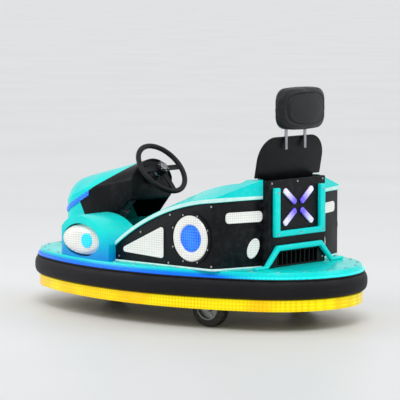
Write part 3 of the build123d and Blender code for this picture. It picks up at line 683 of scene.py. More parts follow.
finish = {name: makeFinish(name, look) for name, look in finishLooks.items()}
finish.update({name: makeLamp(name, look) for name, look in lampLooks.items()})
finishOfSlot = {
    "body_colour": "bodyGloss", "black_shell": "blackShell", "bumper_rubber": "bumperRubber",
    "light_strip": "stripGlow", "white_lamp": "whiteGlow", "blue_lamp": "blueGlow",
    "violet_lamp": "violetGlow", "cyan_lamp": "cyanGlow", "amber_lamp": "amberGlow",
    "frame_steel": "frameSteel", "bright_steel": "brightSteel", "cast_housing": "castHousing",
    "floor_mat": "floorMat", "seat_leather": "seatVinyl", "grip": "gripRubber",
    "tyre_rubber": "tyreRubber", "battery_case": "batteryCase",
}
for node, solid in frame["nodes"].items():
    solid.data.materials.clear()
    solid.data.materials.append(finish[finishOfSlot[slotOfNode[node]]])
print("finishes made:", len(finish))


# Studio: pale floor, soft light, and the photograph's low view from behind the kart's left side

studio = {"azimuth": 131.5, "elevation": 5.5, "distance": 12.7, "aim": (0.0, 0.02, 0.555), "lens": 232,
          "clipEnd": 400, "floorHalf": 90, "floorTone": shade(226, 227, 228), "floorDeep": 0.97,
          "floorGrain": 40, "floorPatch": 0.8, "floorRough": (0.42, 0.5), "floorGloss": 0.3,
          "wallTone": shade(236, 237, 239), "skyStrength": 0.62,
          "sunStrength": 1.35, "sunPlace": (4, 3, 6), "sunTurn": (38, 12, 118), "sunSpread": 28}
softBoxes = {
    # energy, place, turn, size
    "softBoxFront": (60, (3.2, -3.6, 2.6), (62, 0, 42), 2.6),
    "softBoxRear": (50, (-2.6, 4.2, 2.8), (58, 0, 212), 2.4),
}


def makeFloor():
    deselectAll()
    bpy.ops.mesh.primitive_plane_add(size=2 * studio["floorHalf"], location=(0, 0, 0))
    floor = named("studioFloor")
    material, tree, surface = newMaterial("floorPaint")
    grain = useGroup(tree, mouldGrain, Scale=studio["floorGrain"], Patch=studio["floorPatch"])
    clouds, pale = grain.outputs["Tone"], studio["floorTone"]
    setInputs(tree, surface, {
        "Base Color": mixColours(tree, clouds, pale, [studio["floorDeep"] * value for value in pale]),
        "Roughness": ramp(tree, clouds, 0.0, 1.0, *studio["floorRough"]),
        "Specular IOR Level": studio["floorGloss"]})
    floor.data.materials.append(material)


def makeWorld():
    # lights the kart evenly, and shows the wall's own colour to the camera and in reflections
    world = bpy.data.worlds.new("studioWorld")
    bpy.context.scene.world = world
    world.use_nodes = True
    tree = world.node_tree
    tree.nodes.clear()
    light = addNode(tree, "Background", {"Color": (1, 1, 1, 1), "Strength": studio["skyStrength"]})
    wall = addNode(tree, "Background", {"Color": studio["wallTone"], "Strength": 1.0})
    path = addNode(tree, "LightPath").outputs
    seen = mathNode(tree, "MAXIMUM", path["Is Camera Ray"], path["Is Glossy Ray"])
    seen = mathNode(tree, "MAXIMUM", seen, path["Is Transmission Ray"])
    both = addNode(tree, "MixShader", {0: seen, 1: light.outputs[0], 2: wall.outputs[0]})
    output = tree.nodes.new("ShaderNodeOutputWorld")
    tree.links.new(both.outputs[0], output.inputs[0])


def addLight(name, kind, energy, place, turn, **settings):
    deselectAll()
    bpy.ops.object.light_add(type=kind, location=place, rotation=[math.radians(angle) for angle in turn])
    lamp = bpy.context.active_object
    lamp.name = name
    lamp.data.energy = energy
    for key, value in settings.items():
        setattr(lamp.data, key, value)


def makeLights():
    addLight("sun", "SUN", studio["sunStrength"], studio["sunPlace"], studio["sunTurn"],
             angle=math.radians(studio["sunSpread"]))
    for name, (energy, place, turn, size) in softBoxes.items():
        addLight(name, "AREA", energy, place, turn, size=size)


def makeCamera():
    azimuth, elevation = math.radians(studio["azimuth"]), math.radians(studio["elevation"])
    level = math.cos(elevation)
    back = Vector((math.sin(azimuth) * level, -math.cos(azimuth) * level, math.sin(elevation)))
    deselectAll()
    bpy.ops.object.camera_add(location=Vector(studio["aim"]) + back * studio["distance"])
    camera = bpy.context.active_object
    camera.rotation_euler = (-back).to_track_quat("-Z", "Y").to_euler()
    camera.data.lens = studio["lens"]
    camera.data.clip_end = studio["clipEnd"]
    bpy.context.scene.camera = camera


bpy.context.scene.view_settings.view_transform = "Standard"
makeFloor()
makeWorld()
makeLights()
makeCamera()
print("studio made")


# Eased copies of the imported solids, whose form is right and only needs real edges

easedSolids = {
    # edge radius, segments
    "underglow_strip": (0.004, 3),
    "bumper_hoop": (0.001, 2),
    "chassis_frame": (0.003, 2),
    "floor_plate": (0.001, 1),
    "drive_bridge": (0.002, 2),
    "steering_column": (0.003, 3),
    "rear_axle": (0.0015, 2),
    "body_deck": (0.004, 3),
    "side_panels": (0.0025, 2),
    "side_lenses": (0.002, 3),
    "tail_lamps": (0.0022, 3),
    "rear_panel": (0.003, 2),
    "rear_frame": (0.006, 3),
    "cross_lamp": (0.004, 3),
    "rear_grille": (0.001, 2),
    "nose_panel": (0.004, 3),
    "nose_grille": (0.0015, 2),
    "front_light_bars": (0.003, 3),
    "fairing_stripes": (0.0015, 2),
    "dash_panel": (0.002, 2),
    "seat_plinth": (0.004, 2),
    "battery_box": (0.006, 3),
    "headrest_posts": (0.0015, 2),
    "steering_shaft": (0.001, 2),
    "drive_fork": (0.0015, 2),
    "drive_wheel": (0.0015, 2),
    "rear_wheel_left": (0.0015, 2),
    "rear_wheel_right": (0.0015, 2),
}
# the deck's finish carries a painted reflection of the blue lamps on its outer wall
ownFinish = {"tail_lamps": "tailGlow", "front_light_bars": "tailGlow", "body_deck": "deckGloss"}


def easedCopy(node, radius, segments):
    piece = fromNode(node)
    easeEdges(piece, radius, segments)
    body = frame["nodes"][node]["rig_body"]
    return fitPiece(piece, body, slotOfNode[node], [node], ownFinish.get(node), recalculate=False)


eased = {node: easedCopy(node, *edges) for node, edges in easedSolids.items()}
print("eased copies:", len(eased))


# The flat faces of the lenses lie a little below their rims

lensRims = {"side_lenses": 0.006, "tail_lamps": 0.006, "front_light_bars": 0.007}
lensFace = {"leastArea": 0.0015, "depth": 0.0016, "near": 1e-5}


def sinkLens(node, margin):
    faces = [face for face in eased[node].data.polygons if face.area > lensFace["leastArea"]]
    centres = [face.center.copy() for face in faces]

    def onFace(centre, normal):
        return any((centre - spot).length < lensFace["near"] for spot in centres)

    sinkFaces(eased[node], onFace, margin, -lensFace["depth"])


for node, margin in lensRims.items():
    sinkLens(node, margin)
print("lens faces sunk")


# Rubber ring with a moulded bead on its top, and a light line between the ring and the deck's wall

oval = {"halfWidth": 0.555, "endRadius": 0.435, "endCentre": 0.515, "sideOffset": 1.0451, "steps": 90}
bumper = {"edge": 0.009, "segments": 4, "beadInset": 0.016, "beadRadius": 0.0035, "beadPoints": 160,
          "top": 0.2495}
deckLine = {"inset": 0.0195, "level": 0.2575, "radius": 0.0058, "points": 220}


def ovalPath(inset, count):
    # evenly spaced points on the bumper's four-arc outline, moved inwards
    steps, endCentre, sideOffset = oval["steps"], oval["endCentre"], oval["sideOffset"]
    join = math.atan2(endCentre, sideOffset)
    sideRadius, endRadius = oval["halfWidth"] + sideOffset - inset, oval["endRadius"] - inset
    sideTurns = [-join + 2 * join * step / steps for step in range(steps)]
    tailTurns = [join + (math.pi - 2 * join) * step / steps for step in range(steps)]
    half = [(sideRadius * math.cos(turn) - sideOffset, sideRadius * math.sin(turn)) for turn in sideTurns]
    half += [(endRadius * math.cos(turn), endCentre + endRadius * math.sin(turn)) for turn in tailTurns]
    ring = half + [(-x, -y) for x, y in half]
    lengths = [math.dist(a, b) for a, b in zip(ring, ring[1:] + ring[:1])]
    total, points, travelled, index = sum(lengths), [], 0.0, 0
    for number in range(count):
        target = total * number / count
        while travelled + lengths[index] < target:
            travelled += lengths[index]
            index += 1
        points.append(ring[index])
    return points


def makeBumper():
    piece = fromNode("bumper_ring")
    easeEdges(piece, bumper["edge"], bumper["segments"], angle=20)
    path = [(x, y, bumper["top"]) for x, y in ovalPath(bumper["beadInset"], bumper["beadPoints"])]
    bead = tube("beadLine", path, bumper["beadRadius"], closed=True)
    piece = joinPieces("bumperRing", [piece, bead])
    fitPiece(piece, "chassis", "bumper_rubber", ["bumper_ring"], smooth=40, recalculate=False)


def makeDeckLine():
    path = [(x, y, deckLine["level"]) for x, y in ovalPath(deckLine["inset"], deckLine["points"])]
    line = tube("deckLightLine", path, deckLine["radius"], closed=True, sides=8)
    fitPiece(line, "chassis", "blue_lamp", paint="lineGlow", smooth=60)


makeBumper()
makeDeckLine()
print("bumper made")


# Side pods with a raised pale trim along the lip of the black panels, and a pale bead on the sill

pods = {"lipBand": 0.006, "trimMargin": 0.0025, "trimRise": 0.0018, "trimTop": 0.6292, "edge": 0.0008,
        "flank": 0.474, "tailSpot": (0.310, 0.572), "tailTurn": 17, "front": -0.104, "deckTop": 0.2843,
        "tailwards": 0.5, "outwards": 0.25,   # the least of a lip's normal to the tail and to the side
        "upwards": 0.2,   # the most of it up or down
        "sillRadius": 0.0055, "sillSink": 0.0005, "sillStep": 0.001, "sillInner": 0.218,
        "sillCorner": [(0, -0.03), (-0.006, -0.008), (-0.03, 0.006)]}   # (x, y) steps round the tail's corner


def podSkin(centre):
    # how far a point lies outside the pod's flank and tail planes, nought on them
    turn = math.radians(pods["tailTurn"])
    spotX, spotY = pods["tailSpot"]
    tail = (abs(centre.x) - spotX) * math.sin(turn) + (centre.y - spotY) * math.cos(turn)
    return max(abs(centre.x) - pods["flank"], tail)


def onPodTail(centre, normal):
    return normal.y > pods["tailwards"] and podSkin(centre) > -pods["lipBand"]


def onPodLip(centre, normal):
    outwards = normal.x * math.copysign(1, centre.x) > pods["outwards"]
    onFlank = outwards and podSkin(centre) > -pods["lipBand"]
    upright = centre.z < pods["trimTop"] and abs(normal.z) < pods["upwards"]
    return upright and (onFlank or onPodTail(centre, normal))


def makePods():
    piece = fromNode("side_pods")
    pickFaces(piece, onPodTail)
    cutAcross(piece, (0, 0, pods["trimTop"]), (0, 0, 1))
    sinkFaces(piece, onPodLip, pods["trimMargin"], pods["trimRise"])
    raised = [face.index for face in piece.data.polygons if face.select]
    piece.data.materials.clear()
    for name in ("bodyGloss", "paleTrim"):
        piece.data.materials.append(finish[name])
    for index in raised:
        piece.data.polygons[index].material_index = 1
    easeEdges(piece, pods["edge"], 1, angle=40)
    tiePiece(piece, "chassis", "body_colour", ["side_pods"], smooth=35, recalculate=False)


def makeSillBeads():
    slope = math.tan(math.radians(pods["tailTurn"]))
    spotX, spotY = pods["tailSpot"]
    inner, flank = pods["sillInner"], pods["flank"] - pods["sillStep"]
    level = pods["deckTop"] + pods["sillRadius"] - pods["sillSink"]
    cornerY = spotY - (flank - spotX) * slope
    line = [(flank, pods["front"], level)]
    line += [(flank + x, cornerY + y, level) for x, y in pods["sillCorner"]]
    line.append((inner, spotY + (spotX - inner) * slope, level))
    bead = mirrored(tube("sillBeads", line, pods["sillRadius"], sides=10))
    fitPiece(bead, "chassis", "body_colour", paint="paleTrim", smooth=50)


makePods()
makeSillBeads()
print("pods made")


# Side lamps: a white ring with pockets for its light points round a ribbed blue dome, in a screwed bezel

sideLamp = {"centre": (0.468, 0.381, 0.430), "sides": 72, "pocketEvery": 2, "pocketMargin": 0.0012,
            "pocketDepth": 0.0012, "screws": 8, "screwRing": 0.1177, "screwBase": 0.4777,
            "screwRadius": 0.0045,
            "ring": [(0.0645, 0.0), (0.0645, 0.0065), (0.0690, 0.0112), (0.0870, 0.0139), (0.1045, 0.0116),
                     (0.1095, 0.0068), (0.1095, 0.0)],
            "core": [(0.0638, 0.0), (0.0638, 0.0055), (0.0605, 0.0090), (0.0530, 0.0086), (0.0520, 0.0112),
                     (0.0415, 0.0107), (0.0405, 0.0128), (0.0295, 0.0123), (0.0285, 0.0136),
                     (0.0155, 0.0139)]}


def makeSideLamps():
    outwards = facing(sideLamp["centre"], (1, 0, 0))
    ring = turnedPiece("sideLampRings", sideLamp["ring"], sideLamp["sides"], closed=True)

    def pocket(centre, normal):
        return normal.z > 0.8 and sectorOf(centre, sideLamp["sides"]) % sideLamp["pocketEvery"] == 0

    sinkFaces(ring, pocket, sideLamp["pocketMargin"], -sideLamp["pocketDepth"])
    ring.data.transform(outwards)
    fitPiece(mirrored(ring), "chassis", "white_lamp", ["side_lamp_rings"], smooth=30)
    core = turnedPiece("sideLampCores", sideLamp["core"], sideLamp["sides"])
    core.data.transform(outwards)
    fitPiece(mirrored(core), "chassis", "blue_lamp", ["side_lamp_cores"], smooth=30)
    y, z = sideLamp["centre"][1:]
    places = [facing((sideLamp["screwBase"], y + across, z + up), (1, 0, 0))
              for across, up in circle(sideLamp["screws"], sideLamp["screwRing"], 0.5)]
    fitBolts("bezelScrews", sideLamp["screwRadius"], places, bothSides=True)


makeSideLamps()
print("side lamps made")


# Front fenders with domed oval lamps in a black gasket

frontLamp = {"fenderEdge": 0.005, "base": (0.440, -0.335, 0.371), "squash": 0.517, "sides": 72,
             "lens": [(0.145, 0.0), (0.145, 0.007), (0.1405, 0.0160), (0.1310, 0.0250), (0.1160, 0.0325),
                      (0.0940, 0.0378), (0.0660, 0.0400)],
             "cellBand": (0.117, 0.130), "cellsOf": 3, "cellMargin": 0.0015, "cellDepth": 0.0014,
             "coreBase": (0.480, -0.293, 0.371), "coreSides": 48,
             "core": [(0.036, -0.003), (0.036, 0.002), (0.031, 0.0045), (0.019, 0.0050)],
             "gasket": 0.1485, "gasketStep": 0.002, "gasketRadius": 0.0035, "gasketPoints": 64}


def makeFenders():
    fender = fromNode("front_fenders")
    easeEdges(fender, frontLamp["fenderEdge"], 3)
    # the fender finish carries painted blue lamp light towards its foot
    fitPiece(fender, "chassis", "body_colour", ["front_fenders"], "fenderGloss", recalculate=False)


def makeFrontLamps():
    x, y, z = frontLamp["base"]
    squash, sides = frontLamp["squash"], frontLamp["sides"]
    nearest, furthest = frontLamp["cellBand"]
    lens = turnedPiece("frontLampLenses", frontLamp["lens"], sides)

    def cell(centre, normal):
        inBand = nearest < math.hypot(centre.x, centre.y) < furthest
        return inBand and sectorOf(centre, sides) % frontLamp["cellsOf"] != 0

    sinkFaces(lens, cell, frontLamp["cellMargin"], -frontLamp["cellDepth"])
    lens.data.transform(flattened(z, squash) @ facing((x, y, z), (1, 0, 0)))
    fitPiece(mirrored(lens), "chassis", "white_lamp", ["front_lamps"], smooth=40)
    core = turnedPiece("frontLampCores", frontLamp["core"], frontLamp["coreSides"])
    core.data.transform(facing(frontLamp["coreBase"], (1, 0, 0)))
    fitPiece(mirrored(core), "chassis", "cyan_lamp", ["front_lamp_cores"], smooth=40)
    rim = [(x + frontLamp["gasketStep"], y + across, z + squash * up)
           for across, up in circle(frontLamp["gasketPoints"], frontLamp["gasket"])]
    gasket = mirrored(tube("frontLampGaskets", rim, frontLamp["gasketRadius"], closed=True, sides=8))
    fitPiece(gasket, "chassis", "black_shell", smooth=60)


makeFenders()
makeFrontLamps()
print("fenders made")


# Fairing: turquoise hood that rises to the steering wheel, black cowl below it, many-coloured lamp in front

fairing = {"edge": 0.004, "cowlSpot": (0, -0.65, 0.5195), "cowlRise": 33.3, "cowlFront": -0.625,
           "cowlLean": -30, "lampBase": (0, -0.7452, 0.558), "lampSquash": 0.568, "lampSides": 64,
           "lamp": [(0.095, 0.0), (0.095, 0.003), (0.089, 0.0060), (0.076, 0.0076), (0.074, 0.0066),
                    (0.052, 0.0074), (0.050, 0.0064), (0.028, 0.0070)],
           "rim": 0.098, "rimStep": 0.001, "rimRadius": 0.004, "rimPoints": 64}


def makeFairing():
    shell = fromNode("fairing", "fairingShell")
    easeEdges(shell, fairing["edge"], 2, angle=38)
    rise, lean = math.radians(fairing["cowlRise"]), math.radians(fairing["cowlLean"])
    topSpot = Vector(fairing["cowlSpot"])
    upwards = Vector((0, -math.sin(rise), math.cos(rise)))
    frontSpot = Vector((0, fairing["cowlFront"], topSpot.z))
    forwards = Vector((0, -math.cos(lean), math.sin(lean)))
    for spot, normal in ((topSpot, upwards), (frontSpot, forwards)):
        editAll(shell)
        cutAcross(shell, spot, normal)

    def onCowl(centre, normal):
        return (centre - topSpot).dot(upwards) < 0 and (centre - frontSpot).dot(forwards) < 0

    fitPiece(shell, "chassis", "body_colour", ["fairing"], smooth=38, recalculate=False)
    paintFaces(shell, onCowl, finish["blackShell"])


def makeFairingLamp():
    y, z = fairing["lampBase"][1:]
    squash = fairing["lampSquash"]
    lamp = turnedPiece("fairingLamp", fairing["lamp"], fairing["lampSides"])
    lamp.data.transform(flattened(z, squash) @ facing(fairing["lampBase"], (0, -1, 0)))
    fitPiece(lamp, "chassis", "amber_lamp", ["fairing_lamp"], smooth=30)
    rim = [(across, y - fairing["rimStep"], z + squash * up)
           for across, up in circle(fairing["rimPoints"], fairing["rim"])]
    ring = tube("fairingLampRim", rim, fairing["rimRadius"], closed=True, sides=8)
    fitPiece(ring, "chassis", "black_shell", smooth=60)


makeFairing()
makeFairingLamp()
print("fairing made")


# Steering wheel: round grip with a stitched seam, three hollowed spokes, hub with a plain cap

wheel = {"centre": (0, -0.235, 0.697), "tilt": -50, "radius": 0.140, "grip": 0.0130,
         "gripSides": (96, 18),   # round the wheel, round the grip
         "spokeTurns": (0, 90, 180), "spokeFrom": 0.026, "spokeTo": 0.131, "spokeWidth": 0.028,
         "spokeThick": 0.008, "spokeEdge": 0.0018, "pocketFrom": 0.05, "pocketMargin": 0.006,
         "pocketDepth": 0.0018,
         "hub": [(0.034, -0.018), (0.034, 0.011), (0.031, 0.016), (0.026, 0.018)], "hubSides": 40,
         "cap": [(0.021, 0.0175), (0.021, 0.0205), (0.018, 0.0225), (0.010, 0.0232)], "capSides": 32,
         "bolts": 6, "boltRing": 0.0275, "boltBase": 0.0172, "boltRadius": 0.0034,
         "stitches": 88, "stitchLean": 28, "stitchHalf": (0.0008, 0.0006, 0.0034), "stitchEdge": 0.0004}
wheelSeat = Matrix.Translation(wheel["centre"]) @ Matrix.Rotation(math.radians(wheel["tilt"]), 4, "X")


def makeGrip():
    deselectAll()
    around, across = wheel["gripSides"]
    bpy.ops.mesh.primitive_torus_add(major_segments=around, minor_segments=across,
                                     major_radius=wheel["radius"], minor_radius=wheel["grip"])
    grip = named("steeringGrip")
    grip.data.transform(wheelSeat)
    fitPiece(grip, "steering", "grip", ["steering_wheel"], smooth=60)


def makeSpokes():
    half, thick = wheel["spokeWidth"] / 2, wheel["spokeThick"] / 2
    low, high = (wheel["spokeFrom"], -half, -thick), (wheel["spokeTo"], half, thick)
    spoke = block("spoke", low, high, wheel["spokeEdge"])
    sinkFaces(spoke, lambda centre, normal: abs(normal.z) > 0.95 and centre.x > wheel["pocketFrom"],
              wheel["pocketMargin"], -wheel["pocketDepth"])
    turns = [Matrix.Rotation(math.radians(turn), 4, "Z") for turn in wheel["spokeTurns"]]
    hub = turnedPiece("steeringHub", wheel["hub"], wheel["hubSides"])
    spokes = joinPieces("steeringSpokes", [spread("spokes", spoke, turns), hub])
    spokes.data.transform(wheelSeat)
    fitPiece(spokes, "steering", "black_shell", smooth=30)


def makeCap():
    cap = turnedPiece("steeringCap", wheel["cap"], wheel["capSides"])
    cap.data.transform(wheelSeat)
    fitPiece(cap, "steering", "cast_housing", smooth=30)
    places = [wheelSeat @ Matrix.Translation((x, y, wheel["boltBase"]))
              for x, y in circle(wheel["bolts"], wheel["boltRing"], 0.5)]
    fitBolts("steeringBolts", wheel["boltRadius"], places, "steering")


def makeStitches():
    reach = Matrix.Translation((wheel["radius"] - wheel["grip"], 0, 0))
    lean = Matrix.Rotation(math.radians(wheel["stitchLean"]), 4, "X")
    places = []
    for number in range(wheel["stitches"]):
        turn = Matrix.Rotation(2 * math.pi * number / wheel["stitches"], 4, "Z")
        places.append(wheelSeat @ turn @ reach @ lean)
    half = Vector(wheel["stitchHalf"])
    thread = spread("steeringStitches", block("stitch", -half, half, wheel["stitchEdge"], 1), places)
    fitPiece(thread, "steering", "grip", paint="stitchThread", smooth=40)


makeGrip()
makeSpokes()
makeCap()
makeStitches()
print("steering wheel made")


# Rubber boot round the column where it leaves the dash

boot = {"gearbox": (0, -0.55, 0.4327), "rise": 40, "start": 0.320, "sides": 40,
        "outline": [(0.0185, 0.0), (0.037, 0.0), (0.037, 0.004), (0.030, 0.009), (0.034, 0.014),
                    (0.027, 0.020), (0.031, 0.025), (0.024, 0.031), (0.028, 0.036), (0.021, 0.043),
                    (0.0222, 0.049), (0.0185, 0.049)]}


def makeBoot():
    piece = turnedPiece("columnBoot", boot["outline"], boot["sides"], closed=True)
    rise = math.radians(boot["rise"])
    uphill = Vector((0, math.cos(rise), math.sin(rise)))
    piece.data.transform(facing(Vector(boot["gearbox"]) + uphill * boot["start"], uphill))
    fitPiece(piece, "chassis", "grip", smooth=50)


makeBoot()
print("boot made")


# Solid tyres with a centre groove and cross cuts, and their rims' nuts

tyreNodes = ("drive_tyre", "rear_tyre_left", "rear_tyre_right")
tyre = {"sides": 72, "cutEvery": 3, "cutFrom": 0.0985, "cutMargin": 0.0009, "cutDepth": 0.0035,
        "half": [(0.0682, 0.0245), (0.080, 0.0250), (0.092, 0.0243), (0.0980, 0.0212), (0.1000, 0.0170),
                 (0.1000, 0.0050), (0.0965, 0.0040)],   # (radius, distance from the tyre's middle)
        "nuts": 5, "nutSides": 6, "nutRing": 0.045, "nutFace": 0.0052, "nutRadius": 0.006}


def makeTyre(node, middle, body):
    half = tyre["half"]
    outline = [(radius, -along) for radius, along in half]
    outline += [(radius, along) for radius, along in reversed(half)]
    piece = turnedPiece(pieceName(node), outline, tyre["sides"], closed=True)

    def cut(centre, normal):
        outer = math.hypot(centre.x, centre.y) > tyre["cutFrom"] and abs(normal.z) < 0.3
        return outer and sectorOf(centre, tyre["sides"]) % tyre["cutEvery"] == 0

    pickFaces(piece, cut)
    bpy.ops.mesh.inset(thickness=tyre["cutMargin"], depth=-tyre["cutDepth"], use_individual=True)
    objectMode()
    piece.data.transform(facing(middle, (1, 0, 0)))
    fitPiece(piece, body, "tyre_rubber", [node], smooth=35)


def makeWheelNuts(node, middle, body):
    places = []
    for side in (-1, 1):
        for across, up in circle(tyre["nuts"], tyre["nutRing"]):
            spot = middle + Vector((side * tyre["nutFace"], across, up))
            places.append(facing(spot, (side, 0, 0)))
    fitBolts(pieceName(node) + "Nuts", tyre["nutRadius"], places, body, tyre["nutSides"], smooth=25)


for node in tyreNodes:
    low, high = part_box(node)
    body = frame["nodes"][node]["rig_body"]
    makeTyre(node, (low + high) / 2, body)
    makeWheelNuts(node, (low + high) / 2, body)
print("tyres made")


# Ribbed foot mat and pedal pads

mat = {"low": (-0.200, -0.320, 0.1841), "high": (0.200, -0.020, 0.1862), "corner": 0.020, "cornerSteps": 5,
       "ribs": 25, "ribWidth": 0.005, "ribTop": 0.1879, "ribSink": 0.0004, "ribEdge": 0.0006,
       "sideMargin": 0.012, "endMargin": 0.015}
pedal = {"places": (-0.115, 0.115), "y": -0.385, "foot": 0.192, "lean": 35, "edge": 0.002, "face": 0.0040,
         "ribs": 6, "ribStep": 0.018, "ribLow": (-0.034, -0.0005, -0.0045), "ribHigh": (0.034, 0.004, 0.0045),
         "ribEdge": 0.0014}


def makeMat():
    base = block("footMat", mat["low"], mat["high"])
    pickEdges(base, lambda start, end: math.dist(start.xy, end.xy) < mergeGap)   # the upright ones
    bpy.ops.mesh.bevel(offset=mat["corner"], segments=mat["cornerSteps"])
    objectMode()
    right, back, top = mat["high"]
    front = mat["low"][1] + mat["endMargin"]
    step = (back - mat["endMargin"] - front) / (mat["ribs"] - 1)
    places = [Matrix.Translation((0, front + step * number, 0)) for number in range(mat["ribs"])]
    reach, halfWidth = right - mat["sideMargin"], mat["ribWidth"] / 2
    rib = block("matRib", (-reach, -halfWidth, top - mat["ribSink"]), (reach, halfWidth, mat["ribTop"]),
                mat["ribEdge"])
    piece = joinPieces("footMat", [base, spread("matRibs", rib, places)])
    fitPiece(piece, "chassis", "floor_mat", ["foot_mat"], smooth=40)


def makePedals():
    plate = fromNode("pedals", "pedalPlates")
    easeEdges(plate, pedal["edge"])
    fitPiece(plate, "chassis", "bright_steel", ["pedals"], recalculate=False)
    lean = Matrix.Rotation(math.radians(pedal["lean"]), 4, "X")
    places = []
    for x in pedal["places"]:
        foot = Matrix.Translation((x, pedal["y"], pedal["foot"])) @ lean
        rises = [pedal["ribStep"] * (number + 1) for number in range(pedal["ribs"])]
        places += [foot @ Matrix.Translation((0, pedal["face"], rise)) for rise in rises]
    rib = block("pedalRib", pedal["ribLow"], pedal["ribHigh"], pedal["ribEdge"])
    fitPiece(spread("pedalRibs", rib, places), "chassis", "grip", smooth=40)


makeMat()
makePedals()
print("mat and pedals made")


# Seat shell and its soft pads, blown up by cloth simulation and then seamed

seat = {"edge": 0.004, "postTop": 0.93, "postReach": 0.014, "backY": 0.5, "baseZ": 0.335, "slope": 106 / 565}
swelling = {"pressure": 4.0, "frames": 20}
seamSizes = {
    # width, depth
    "border": (0.004, 0.0045),
    "bolster": (0.005, 0.006),
    "channel": (0.005, 0.005),
    "rim": (0.004, 0.003),
}
welt = {"rise": 0.35, "away": 2.2}   # shares of a seam's depth and width


def makeSeatShell():
    shell = fromNode("seat_shell")
    easeEdges(shell, seat["edge"], 3)
    fitPiece(shell, "chassis", "black_shell", ["seat_shell"], recalculate=False)


def reachIntoPillow():
    # the headrest's posts go on up into its pillow
    pickFaces(eased["headrest_posts"], lambda centre, normal: normal.z > 0.9 and centre.z > seat["postTop"])
    bpy.ops.transform.translate(value=(0, 0, seat["postReach"]))
    objectMode()


def swell(piece, held, most):
    # pressure from inside, with the held points pinned, then a limit on how far any point went
    rest = [vertex.co.copy() for vertex in piece.data.vertices]
    group = piece.vertex_groups.new(name="held")
    group.add([index for index, spot in enumerate(rest) if held(spot)], 1.0, "REPLACE")
    modifier = piece.modifiers.new("Cloth", "CLOTH")
    modifier.settings.use_pressure = True
    modifier.settings.uniform_pressure_force = swelling["pressure"]
    modifier.settings.effector_weights.gravity = 0
    modifier.settings.vertex_group_mass = "held"
    modifier.collision_settings.use_collision = False
    scene = bpy.context.scene
    scene.frame_start, scene.frame_end = 1, swelling["frames"]
    for number in range(swelling["frames"]):
        scene.frame_set(number + 1)
    takeUp(piece)
    bpy.ops.object.modifier_apply(modifier=modifier.name)
    for vertex, start in zip(piece.data.vertices, rest):
        moved = vertex.co - start
        if moved.length > most:
            vertex.co = start + moved * (most / moved.length)
    scene.frame_set(1)


def groove(piece, kind, distance, applies):
    # pulls the surface in along seam lines, with a low welt beside them
    width, depth = seamSizes[kind]
    normals = [vertex.normal.copy() for vertex in piece.data.vertices]
    for vertex, normal in zip(piece.data.vertices, normals):
        if applies(vertex.co, normal):
            away = distance(vertex.co) / width
            vertex.co -= normal * depth * math.exp(-away * away)
            vertex.co += normal * depth * welt["rise"] * math.exp(-(away - welt["away"]) ** 2)


def makePad(node, name, pad, held, seams, thinned=None):
    piece = fromNode(node, name)
    low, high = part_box(node)
    centre = (low + high) / 2
    if pad["edge"]:
        easeEdges(piece, pad["edge"], 4)
    scale = [1 - 2 * pad["shrink"] / size for size in high - low]
    sized = Matrix.Translation(centre) @ Matrix.Diagonal((*scale, 1)) @ Matrix.Translation(-centre)
    piece.data.transform(sized)
    applyModifier(piece, "REMESH", mode="VOXEL", voxel_size=pad["voxel"])
    if thinned:
        for vertex in piece.data.vertices:
            vertex.co = thinned(vertex.co)
    applyModifier(piece, "SMOOTH", factor=0.5, iterations=pad["rounds"])
    swell(piece, held, pad["most"])
    applyModifier(piece, "SMOOTH", factor=0.5, iterations=2)
    applyModifier(piece, "SUBSURF", levels=1, render_levels=1)
    for seam in seams:
        groove(piece, *seam)
    fitPiece(piece, "chassis", "seat_leather", [node], smooth=60)


def quilt(pad, along, applies):
    # a pad's seams: round its border, along its two bolsters, and its channels between them
    def beside(spot):
        return abs(spot.x) - pad["bolster"]

    def fromMiddle(spot):
        return abs(along(spot) - pad["middle"]) - pad["reach"]

    def border(spot):
        # follows the pad's outline, round at its two upper corners where the pad has a corner radius
        across, up, corner = abs(spot.x) - pad["half"], fromMiddle(spot), pad["corner"]
        if corner and along(spot) > pad["middle"] and min(across, up) > -corner:
            return abs(math.hypot(across + corner, up + corner) - corner)
        return abs(max(across, up))

    return [
        ("border", border, applies),
        ("bolster", lambda spot: abs(beside(spot)),
         lambda spot, normal: applies(spot, normal) and fromMiddle(spot) < 0),
        ("channel", lambda spot: min(abs(along(spot) - line) for line in pad["channels"]),
         lambda spot, normal: applies(spot, normal) and beside(spot) < 0),
    ]


cushion = {"voxel": 0.006, "shrink": 0.006, "edge": 0.018, "rounds": 4, "most": 0.012, "fill": 0.7,
           "held": 0.362, "top": 0.38, "upwards": 0.35, "half": 0.176, "middle": 0.244, "reach": 0.172,
           "corner": 0.0, "bolster": 0.128, "channels": (0.15, 0.245, 0.34)}


def makeCushion():
    def upper(spot, normal):
        return normal.z > cushion["upwards"] and spot.z > cushion["top"]

    seams = quilt(cushion, lambda spot: spot.y, upper)
    makePad("seat_cushion", "seatCushion", cushion, lambda spot: spot.z < cushion["held"], seams)


backPad = {"voxel": 0.006, "shrink": 0.006, "edge": 0.018, "rounds": 4, "most": 0.010, "fill": 0.7,
           "held": 0.016, "front": 0.03, "forwards": 0.35, "half": 0.158, "middle": 0.6235, "reach": 0.244,
           "corner": 0.046, "bolster": 0.118, "channels": (0.46, 0.545, 0.63, 0.715, 0.80)}


def makeBackPad():
    def ahead(spot):
        # how far a point lies in front of the shell's face
        return seat["backY"] + (spot.z - seat["baseZ"]) * seat["slope"] - spot.y

    def front(spot, normal):
        return -normal.y > backPad["forwards"] and ahead(spot) > backPad["front"]

    seams = quilt(backPad, lambda spot: spot.z, front)
    makePad("seat_back_pad", "seatBackPad", backPad, lambda spot: ahead(spot) < backPad["held"], seams)


